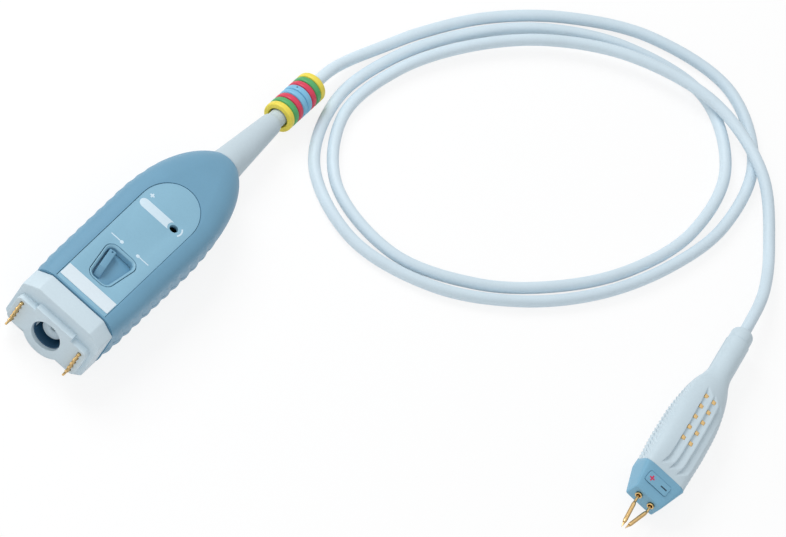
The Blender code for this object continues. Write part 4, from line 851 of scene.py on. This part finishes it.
def make_screws():
    """Pan-head screws with a cross recess, seen from below."""
    profile = rounded(((0.0, 16.0), (1.05, 15.4), (1.05, 2.1), (2.3, 2.1), (2.3, 0.9),
                       (0.0, 0.6)), (0.1, 0.1, 0.1, 0.5), 5)
    for i, (x, y) in enumerate(SCREW_AT):
        screw = turned(f"case_screw_{i + 1}", profile, (x, y, 0.0), (0, 0, 1), steps=36)
        arms = [plate(f"arm_{k}", [rounded_rectangle(x - half_x, x + half_x, y - half_y,
                                                     y + half_y, 0.1, 3)], 0.0, 1.6,
                      edge=TOOL_EDGE)
                for k, (half_x, half_y) in enumerate(((1.3, 0.25), (0.25, 1.3)))]
        cut(screw, *arms)
        finish(screw, "steel", replaces=[f"housing_screw_{i + 1}"])


def make_end_cap():
    """Pale end cap: an eight-sided body and the raised mating face in front of it."""
    half = np.array(((12.2, 13.8), (18.1, 10.3), (18.1, -7.2), (14.5, -AXIS_Z)))
    outline = np.vstack((half, mirrored(half)))
    hole = circle(0, 0, BORE_R, 64)
    body = plate("cap_body", [rounded_loop(outline, 0.5, 4), hole], 3.0, SEAM_Y - GAP / 2,
                 edge=0.45, to_space=standing)
    half_w, top, foot, corner, lobe_r = 16.3, 7.0, 6.3, 2.0, 10.1
    right = np.vstack((arc(half_w - corner, top - corner, corner, 90, 0, 7),
                       arc(half_w - corner, corner - foot, corner, 0, -90, 7),
                       ((9.2, -foot),)))
    lobe_angle = math.degrees(math.asin(5.9 / lobe_r))
    lobe = arc(0, 0, lobe_r, -lobe_angle, lobe_angle - 180, 33)
    step = np.array(((8.5, 8.8), (8.5, top)))
    face = np.vstack((step, right, lobe, mirrored(right), mirrored(step)))
    holes = [circle(side * CONTACT_X, (i - 2) * CONTACT_PITCH, CONTACT_HOLE_R, 16)
             for side in (-1, 1) for i in range(CONTACTS_PER_ROW)]
    raised = plate("cap_mating_face", [face, hole, *holes], 0.0, 3.2, edge=0.3,
                   hole_edge=0.06, to_space=standing)
    for piece in (body, raised):
        finish(piece, "pale_shell", replaces=["end_cap"])


# ------------------------------------------------------------------ boot, rings and cable
def make_boot():
    """Moulded boot: a collar inside the wall, a long taper, a step and a slim neck."""
    profile = rounded(((0.0, NECK_END), (3.35, NECK_END), (3.3, 34.4), (3.8, 33.9),
                       (4.15, 32.6), (6.15, 6.0), (6.65, 1.2), (6.45, 0.7), (5.0, 0.7),
                       (5.0, -2.9), (6.0, -2.9), (6.0, -6.4), (0.0, -6.4)), 0.9, 8)
    boot = turned("strain_boot", profile, boot_point(0), BOOT_DIRECTION, steps=64)
    finish(boot, "pale_boot", replaces=["cable_boot"])


def make_rings():
    """Eight loose rings with a flat bore and a rounded outside, and the fifth one's dot."""
    half, bore, outer, dot_sink = 1.325, 4.05, 6.0, 0.02
    profile = rounded(((bore, 0.0), (bore, half), (outer, half), (outer, -half), (bore, -half),
                       (bore, 0.0)), (0.25, 0.75, 0.75, 0.25), 7)[:-1]
    centres = [boot_point(MARKER_FIRST + i * MARKER_PITCH) - (0.0, 0.0, MARKER_DROP)
               for i in range(len(MARKER_COLOURS))]
    for i, (centre, colour) in enumerate(zip(centres, MARKER_COLOURS)):
        ring = turned(f"ring_{i + 1}_{colour}", profile, centre, BOOT_DIRECTION, steps=64,
                      loop=True)
        finish(ring, f"marker_{colour}", replaces=[f"marker_ring_{i + 1}_{colour}"])
    outwards = unit(np.cross(DOT_TANGENT, BOOT_DIRECTION))
    dot = turned("ring_5_dot", ((0.0, -0.2), (0.38, -0.2), (0.32, 0.05), (0.0, 0.06)),
                 centres[4] + outwards * (outer - dot_sink), outwards, steps=20)
    finish(dot, "deep_blue")


def smooth_route(points, steps):
    """Centripetal Catmull-Rom curve through the points, sampled at even spacing."""
    known = np.array(points, float)
    padded = np.vstack((2 * known[0] - known[1], known, 2 * known[-1] - known[-2]))
    fine = []
    for p0, p1, p2, p3 in zip(padded, padded[1:], padded[2:], padded[3:]):
        t1 = np.linalg.norm(p1 - p0) ** 0.5
        t2 = t1 + np.linalg.norm(p2 - p1) ** 0.5
        t3 = t2 + np.linalg.norm(p3 - p2) ** 0.5
        t = np.linspace(t1, t2, 24, endpoint=False)[:, None]
        a1 = (t1 - t) / t1 * p0 + t / t1 * p1
        a2 = (t2 - t) / (t2 - t1) * p1 + (t - t1) / (t2 - t1) * p2
        a3 = (t3 - t) / (t3 - t2) * p2 + (t - t2) / (t3 - t2) * p3
        b1 = (t2 - t) / t2 * a1 + t / t2 * a2
        b2 = (t3 - t) / (t3 - t1) * a2 + (t - t1) / (t3 - t1) * a3
        fine.append((t2 - t) / (t2 - t1) * b1 + (t - t1) / (t2 - t1) * b2)
    fine = np.vstack(fine + [known[-1:]])
    run = np.concatenate(([0.0], np.cumsum(np.linalg.norm(np.diff(fine, axis=0), axis=1))))
    even = np.linspace(0.0, run[-1], steps)
    return np.column_stack([np.interp(even, run, fine[:, k]) for k in range(3)])


def tube_grid(path, radius, sides):
    """Circles carried along a path: each is square to the path's direction, and its side
    vector stays level, square to the vertical."""
    ahead = np.gradient(path, axis=0)
    ahead /= np.linalg.norm(ahead, axis=1)[:, None]
    side = np.cross(ahead, (0.0, 0.0, 1.0))
    side /= np.linalg.norm(side, axis=1)[:, None]
    up = np.cross(side, ahead)
    angle = np.linspace(0.0, math.tau, sides, endpoint=False)
    ring = (np.cos(angle)[None, :, None] * side[:, None]
            + np.sin(angle)[None, :, None] * up[:, None])
    return path[:, None] + radius * ring


def make_cable():
    boot_end = [tuple(boot_point(NECK_END + run)) for run in (GAP, CABLE_LEAD)]
    tail_end = [tuple(HEAD_AT + HEAD_FORWARD * (COLLAR_START - run)) for run in (CABLE_LEAD, GAP)]
    path = smooth_route(boot_end + list(CABLE_ROUTE) + tail_end, 720)
    sides = bpy.context.scene.probe_sizes.cable_sides
    cable = skin("probe_lead", tube_grid(path, CABLE_R, sides), ends=True)
    finish(cable, "cable_jacket", replaces=["probe_cable"])


# ------------------------------------------------------------------ probe head
def head_ribs(x, height):
    """Inward depth of the fine slanted ribs on both sides of the handle."""
    sizes = bpy.context.scene.probe_sizes
    phase = (x - 0.88 * height) / (sizes.rib_pitch / MM)
    valley = 0.5 - 0.5 * np.cos(math.tau * phase)
    ends = smooth_step(x, 38.0, 46.0) * (1.0 - smooth_step(x, HEAD_SEAM - 2.0, HEAD_SEAM - 0.8))
    reach = (1.0 - smooth_step(height, 2.0, 5.5)) * smooth_step(height, -6.8, -5.2)
    return sizes.rib_depth / MM * valley * ends * reach


def head_grooves(x, y):
    """Depth of the three long grooves: each falls steeply on its left and rises in a long
    slope to its right, and its ends run out to a point."""
    depth = np.zeros(np.broadcast(x, y).shape)
    for i, middle in enumerate(GROOVE_Y):
        start, end = GROOVE_X0 + GROOVE_STAGGER * i, GROOVE_X1
        run_out = (smooth_step(x, start, start + GROOVE_RUN_OUT)
                   * (1.0 - smooth_step(x, end - GROOVE_RUN_OUT, end)))
        left = middle - 1.15 - 1.2 * smooth_step(x, end - 2 * GROOVE_RUN_OUT, end) ** 2
        share = (y - left) / (0.5 + 2.6 * run_out)
        wall = smooth_step(share, 0.0, 0.14)
        slope = np.clip(1.0 - (share - 0.14) / 0.86, 0.0, 1.0) ** 0.8
        depth += run_out * wall * slope
    return bpy.context.scene.probe_sizes.groove_depth / MM * depth


def head_stations(x):
    """Half width, half height, section power and slant along the handle."""
    return [smooth_through(HEAD_X, known, x)
            for known in (HEAD_HALF_W, HEAD_HALF_H, HEAD_POWER, HEAD_SLANT)]


def handle_half(name, upward):
    """One half of the handle: superellipse sections through the head's stations, with ribs
    on the sides and, on the upper half, the long grooves; then the inner wall."""
    sign = 1.0 if upward else -1.0
    x = np.linspace(HEAD_X[0], HEAD_X[-1], 300)
    half_w, height, power, slant = (known[:, None] for known in head_stations(x))
    height = height - GAP / 2
    angle = np.linspace(0.0, math.pi, 161)
    wide, high = section(half_w, height, power, angle[None])
    side = np.sign(wide) * smooth_step(np.abs(wide) / half_w, 0.8, 0.95)
    outer_y = wide - side * head_ribs(x[:, None], sign * high)
    if upward:
        high = high - head_grooves(x[:, None], wide)
    inner_y, inner_z = section(half_w - HANDLE_WALL, height - HANDLE_WALL + GAP / 2, power,
                               angle[None])
    y = np.hstack((outer_y, inner_y[:, ::-1]))
    z = sign * (GAP / 2 + np.hstack((high, inner_z[:, ::-1])))
    return skin(name, on_head(np.stack((x[:, None] + slant * z, y, z), axis=-1)), ends=True)


def make_head():
    upper = handle_half("handle_upper", True)
    lower = handle_half("handle_lower", False)
    finish(upper, "pale_shell", replaces=["head_upper_shell"])
    finish(lower, "pale_shell", replaces=["head_lower_shell"])
    profile = rounded(((0.0, 0.0), (COLLAR_R, 0.0), (COLLAR_R, COLLAR_LEN), (0.0, COLLAR_LEN)),
                      (1.6, 0.25), 9)
    collar = turned("handle_collar", profile, on_head((COLLAR_START, 0, 0)), HEAD_FORWARD,
                    steps=56)
    finish(collar, "pale_shell", replaces=["head_tail_collar"])


def crown_height(x, y):
    """Height of the handle's top at a place on it, without its grooves."""
    half_w, height, power, _ = head_stations(x)
    return height * (1.0 - (np.abs(y) / half_w) ** power) ** (1.0 / power)


def make_pads():
    """Ten square gold pads that stand just above the floor of the first two grooves."""
    pads = []
    for row, y in enumerate(GROOVE_Y[:2]):
        for i in range(PADS_PER_ROW):
            x = PAD_X0 + i * PAD_PITCH
            top = float(crown_height(x, y)) - 0.42
            square = rounded_rectangle(x - 0.85, x + 0.85, y - 0.8, y + 0.8, 0.15, 4)
            pads.append(plate(f"pad_{row}_{i}", [square], 0.4, top, edge=0.12,
                              to_space=on_head))
    strip = rounded_rectangle(40.0, PAD_X0 + PADS_PER_ROW * PAD_PITCH, GROOVE_Y[0] - 1.4,
                              GROOVE_Y[1] + 1.4, 0.3, 4)
    pads.append(plate("strip", [strip], 0.0, 0.8, to_space=on_head))
    finish(join("gold_pads", *pads), "gold", replaces=["head_gold_pads"])


def on_slope(points):
    """Points of the polarity plate's frame: x down the nose's slope, z out of it."""
    x, y, z = np.moveaxis(np.asarray(points, float), -1, 0)
    turn, lean = math.cos(NOSE_SLOPE), math.sin(NOSE_SLOPE)
    return on_head(PLATE_AT + np.stack((x * turn + z * lean, y, z * turn - x * lean), axis=-1))


def make_nose():
    """Faceted nose: superellipse sections of a high power from the slanted seam to the front
    face, which carries the two sockets, and on its slope the plate with + and -."""
    # station, half width, half height, height of the middle, power, slant
    stations = np.array((
        (HEAD_SEAM - GAP / 3, 9.4, 6.4, 0.0, 5.0, SEAM_SLANT),
        (81.8, 9.4, 6.4, 0.0, 5.5, 0.38),
        (83.0, 9.35, 6.35, 0.0, 7.0, 0.2),
        (83.5, 9.2, 6.25, -0.05, 8.0, 0.14),
        (92.7, 6.55, 3.72, -1.87, 14.0, 0.0),
        (93.2, 6.4, 3.57, -1.9, 14.0, 0.0),
        (NOSE_FRONT, 6.1, 3.25, -1.9, 12.0, 0.0)))
    x, half_w, height, middle, power, slant = (stations[:, k, None] for k in range(6))
    y, up = section(half_w, height, power, np.linspace(0.0, math.tau, 192, endpoint=False))
    z = middle + up
    nose = skin("nose_shell", on_head(np.stack((x + slant * z, y, z), axis=-1)), ends=True,
                sharp=50.0)
    tools = [turned(f"bore_{side}", ((0.0, 80.0), (1.35, 80.0), (1.35, 100.0), (0.0, 100.0)),
                    on_head((0.0, side * SOCKET_Y, SOCKET_Z)), HEAD_FORWARD, steps=32)
             for side in (-1, 1)]
    outline = rounded_rectangle(-PLATE_HALF_L, PLATE_HALF_L, -PLATE_HALF_B, PLATE_HALF_B, 0.75, 7)
    tools.append(plate("pocket", [inset(outline, -0.16)], -0.45, 3.0, edge=TOOL_EDGE,
                       to_space=on_slope))
    cut(nose, *tools)
    finish(nose, "nose_blue", replaces=["head_nose"])
    label = plate("polarity_label", [outline], -0.2, 0.5, edge=0.08, to_space=on_slope)
    finish(label, "nose_blue", replaces=["polarity_plate"])
    signs = (("sign_plus", plus_sign(4, 0.27) + (0.05, -3.0), "print_red"),
             ("sign_minus", rounded_rectangle(-0.25, 0.25, 1.3, 4.1, 0.05, 2), "print_dark"))
    for name, shape, look in signs:
        sign = plate(name, [shape], 0.505, 0.5 + INK_THICK, edge=INK_EDGE, to_space=on_slope)
        finish(sign, look)


def make_tips():
    """Two gold sockets, and in each a bent pin: slim neck, crimped barrel, sprung point."""
    front = NOSE_FRONT + GAP
    socket = rounded(((1.1, front + 0.6), (1.36, front + 0.6), (1.36, front), (1.15, front),
                      (1.15, 84.0), (0.85, 84.0), (0.85, front + 0.6), (1.1, front + 0.6)),
                     (0.15, 0.1, 0.05, 0.05, 0.05, 0.2), 5)[:-1]
    for label, side in (("left", -1), ("right", 1)):
        axis = (0.0, side * SOCKET_Y, SOCKET_Z)
        finish(turned(f"socket_{label}", socket, on_head(axis), HEAD_FORWARD, steps=40,
                      loop=True), "gold", replaces=[f"tip_socket_{label}"])
        bend = PIN_BEND[label]
        direction = np.array((math.cos(bend), math.sin(bend), 0.0))
        elbow = np.array((PIN_ELBOW, *axis[1:]))
        ahead = unit(on_head(elbow + direction) - on_head(elbow))
        barrel = rounded(((0.0, PIN_BARREL_LEN), (0.62, PIN_BARREL_LEN),
                          (PIN_BARREL_R, PIN_BARREL_LEN - 0.9), (PIN_BARREL_R, 1.5),
                          (0.52, 0.3), (0.52, -0.5), (0.0, -0.5)),
                         (0.1, 0.5, 0.4, 0.4, 0.2), 6)
        neck = turned("neck", ((0.0, 85.0), (0.35, 85.0), (0.52, 85.3), (0.52, PIN_ELBOW),
                               (0.0, PIN_ELBOW + 0.3)), on_head(axis), HEAD_FORWARD, steps=24)
        body = turned("barrel", barrel, on_head(elbow), ahead, steps=40)
        bore = turned("bore", ((0.0, PIN_BARREL_LEN - 5.2), (0.5, PIN_BARREL_LEN - 5.2),
                               (0.5, PIN_BARREL_LEN + 1.0), (0.0, PIN_BARREL_LEN + 1.0)),
                      on_head(elbow), ahead, steps=28)
        crimp = turned("crimp", ((0.0, 0.0), (0.2, 0.0), (0.24, 1.0), (0.0, 1.0)),
                       on_head(elbow + direction * 4.6 + (0.0, 0.0, PIN_BARREL_R - 0.16)),
                       HEAD_UP, steps=16)
        cut(body, bore, crimp)
        finish(join(f"pin_{label}", neck, body), "gold", f"tip_{label}",
               [f"tip_pin_{label}"])
        mouth = on_head(elbow + direction * PIN_BARREL_LEN)
        point = rounded(((0.0, 2.6), (0.07, 2.5), (0.42, 0.7), (0.42, -3.4), (0.0, -3.4)),
                        (0.05, 0.3, 0.1), 5)
        finish(turned(f"point_{label}", point, mouth, ahead, steps=32), "gold",
               f"point_{label}", [f"tip_plunger_{label}"])


# ------------------------------------------------------------------ stage
def any_ray(tree):
    """1 for camera, glossy and transmission rays, 0 for the rays that light the object."""
    seen = add(tree, 'ShaderNodeLightPath').outputs
    either = larger(tree, seen["Is Camera Ray"], seen["Is Glossy Ray"])
    return larger(tree, either, seen["Is Transmission Ray"])


def larger(tree, first, second):
    return add(tree, 'ShaderNodeMath', {0: first, 1: second}, operation='MAXIMUM').outputs[0]


def cleared_tree(block):
    """Node tree of a material or a world, with nothing in it."""
    block.use_nodes = True
    block.node_tree.nodes.clear()
    return block.node_tree


def mix_out(tree, share, first, second, output):
    """Mix two shaders by a share and lead them to the output."""
    mix = add(tree, 'ShaderNodeMixShader', {0: share, 1: first.outputs[0], 2: second.outputs[0]})
    add(tree, output, {"Surface": mix.outputs[0]})


def make_floor():
    """Pale floor that keeps the part's shadow and stays near white."""
    bpy.ops.mesh.primitive_plane_add(size=8.0, location=(0.07, 0.08, FLOOR - 0.0002))
    floor = bpy.context.object
    floor.name = "studio_floor"
    material = bpy.data.materials.new("paper_sweep_white")
    tree = cleared_tree(material)
    share = add(tree, 'ShaderNodeMath', {0: any_ray(tree), 1: 0.8}, operation='MULTIPLY')
    paper = add(tree, 'ShaderNodeBsdfDiffuse', {"Color": (0.9, 0.9, 0.9, 1.0)})
    glow = add(tree, 'ShaderNodeEmission', {"Color": WHITE, "Strength": 1.04})
    mix_out(tree, share.outputs[0], paper, glow, 'ShaderNodeOutputMaterial')
    floor.data.materials.append(material)


def make_room():
    """White surroundings, darker towards the horizon in what the gloss reflects."""
    scene = bpy.context.scene
    scene.view_settings.view_transform = 'Standard'
    scene.world = bpy.data.worlds.new("soft_white_room")
    tree = cleared_tree(scene.world)
    room = add(tree, 'ShaderNodeBackground', {"Color": (0.97, 0.985, 1.0, 1.0), "Strength": 0.53})
    facing = add(tree, 'ShaderNodeTexCoord').outputs["Generated"]
    height = add(tree, 'ShaderNodeSeparateXYZ', {0: facing}).outputs["Z"]
    band = ranged(tree, height, 0.15, 0.6, 0.25, 1.0)
    eye = add(tree, 'ShaderNodeLightPath').outputs["Is Camera Ray"]
    white = add(tree, 'ShaderNodeBackground', {"Color": WHITE,
                                               "Strength": larger(tree, band, eye)})
    mix_out(tree, any_ray(tree), room, white, 'ShaderNodeOutputWorld')


def make_lamps():
    """Soft key lamp from the left and a weaker fill from the front, aimed at the part."""
    lamps = (("key_softbox", (-0.6, 0.15, 0.7), 0.5, 4.6),
             ("fill_softbox", (0.3, -0.7, 0.6), 0.8, 1.5))
    for name, place, size, power in lamps:
        light = bpy.data.lights.new(name, 'AREA')
        light.shape = 'SQUARE'
        light.size = size
        light.energy = power
        lamp = new_object(name, light)
        lamp.location = place
        aim = Vector((0.07, 0.06, 0.0)) - lamp.location
        lamp.rotation_euler = aim.to_track_quat('-Z', 'Y').to_euler()


def make_camera():
    """Long lens from the front, above and a little to the left, rolled so that the box runs
    from lower left to upper right, at the photograph's own scale."""
    azimuth, elevation, roll = math.radians(8.3), math.radians(50.0), math.radians(35.35)
    distance, sensor = 9.0, 36.0
    looked_at = Vector(metres((67.6, 139.2, 0.0)))
    forward = Vector((-math.sin(azimuth) * math.cos(elevation),
                      math.cos(azimuth) * math.cos(elevation), -math.sin(elevation)))
    level = Vector((math.cos(azimuth), math.sin(azimuth), 0.0))
    upright = level.cross(forward)
    right = level * math.cos(roll) + upright * math.sin(roll)
    up = right.cross(forward)
    data = bpy.data.cameras.new("studio_camera")
    data.sensor_width = sensor
    data.lens = sensor * distance * (PIXELS_PER_MM / MM) / PICTURE_W
    data.clip_start, data.clip_end = 0.5, 60.0
    camera = bpy.data.objects.new("studio_camera", data)
    camera.location = looked_at - forward * distance
    turn = np.column_stack((right, up, -forward))
    camera.rotation_euler = Matrix(turn.tolist()).to_euler()
    bpy.context.scene.collection.objects.link(camera)
    bpy.context.scene.camera = camera


# nodes that keep their own shape, by the start of their names; the others are pale mouldings
KEPT_NODES = {
    "connector_body": "nickel", "amplifier_shield": "nickel", "trimmer_body": "dark_moulding",
    "main_circuit_board": "circuit_board", "head_circuit_board": "circuit_board",
    "inner_cable_lead": "cable_jacket", "cable_clamp": "steel", "head_cable_ferrule": "steel",
    "contact_carrier": "dark_moulding",
}


def dress_kept_nodes():
    """The nodes whose shape is right get their finish."""
    for name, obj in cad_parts.items():
        found = [slot for start, slot in KEPT_NODES.items() if name.startswith(start)]
        for material_slot in obj.material_slots:
            material_slot.material = MATERIALS[found[0] if found else "pale_shell"]


# ------------------------------------------------------------------ operators
class Maker:
    """What every operator does: it runs its makers in turn."""
    def execute(self, context):
        for make in self.makers:
            make()
        return {'FINISHED'}


class ProbeStage(Maker, bpy.types.Operator):
    """Put up the floor, the lamps and the camera"""
    bl_idname = "probe.stage"
    bl_label = "Stage"
    makers = (make_floor, make_room, make_lamps, make_camera)


class ProbeCable(Maker, bpy.types.Operator):
    """Lay the cable in its two loops"""
    bl_idname = "probe.cable"
    bl_label = "Cable"
    makers = (make_cable,)


class ProbeBox(Maker, bpy.types.Operator):
    """Make the box's shells, panel and end cap"""
    bl_idname = "probe.box"
    bl_label = "Interface box"
    makers = (make_shells, make_panel, make_print, make_end_cap, make_screws)


class ProbeLock(Maker, bpy.types.Operator):
    """Make the lock lever and ring, the connector, its contacts and the adjuster"""
    bl_idname = "probe.lock"
    bl_label = "Lock, connector and adjuster"
    makers = (make_lever, make_lock_ring, make_connector, make_contacts, make_adjuster)


class ProbeBoot(Maker, bpy.types.Operator):
    """Make the boot and its marker rings"""
    bl_idname = "probe.boot"
    bl_label = "Boot and rings"
    makers = (make_boot, make_rings)


class ProbeHead(Maker, bpy.types.Operator):
    """Make the probe head: handle, pads, nose and tips"""
    bl_idname = "probe.head"
    bl_label = "Probe head"
    makers = (make_head, make_pads, make_nose, make_tips)


class ProbeKept(Maker, bpy.types.Operator):
    """Give the kept nodes their finish"""
    bl_idname = "probe.kept"
    bl_label = "Kept nodes"
    makers = (dress_kept_nodes,)


class ProbePanel(bpy.types.Panel):
    bl_idname = "VIEW3D_PT_probe"
    bl_label = "Oscilloscope probe"
    bl_space_type = 'VIEW_3D'
    bl_region_type = 'UI'
    bl_category = "Probe"

    def draw(self, context):
        for operator in OPERATORS:
            self.layout.operator(operator.bl_idname)


OPERATORS = (ProbeStage, ProbeCable, ProbeBox, ProbeLock, ProbeBoot, ProbeHead, ProbeKept)
CLASSES = (ProbeSizes, ProbeColours, *OPERATORS, ProbePanel)


def register():
    for cls in CLASSES:
        bpy.utils.register_class(cls)
    bpy.types.Scene.probe_sizes = PointerProperty(type=ProbeSizes)
    bpy.types.Scene.probe_colours = PointerProperty(type=ProbeColours)


def unregister():
    del bpy.types.Scene.probe_colours
    del bpy.types.Scene.probe_sizes
    for cls in reversed(CLASSES):
        bpy.utils.unregister_class(cls)


def main():
    register()
    MATERIALS.update(make_materials())
    bpy.ops.probe.stage()
    bpy.ops.probe.cable()
    bpy.ops.probe.box()
    bpy.ops.probe.lock()
    bpy.ops.probe.boot()
    bpy.ops.probe.head()
    bpy.ops.probe.kept()
    bpy.context.view_layer.update()


if __name__ == "__main__":
    main()
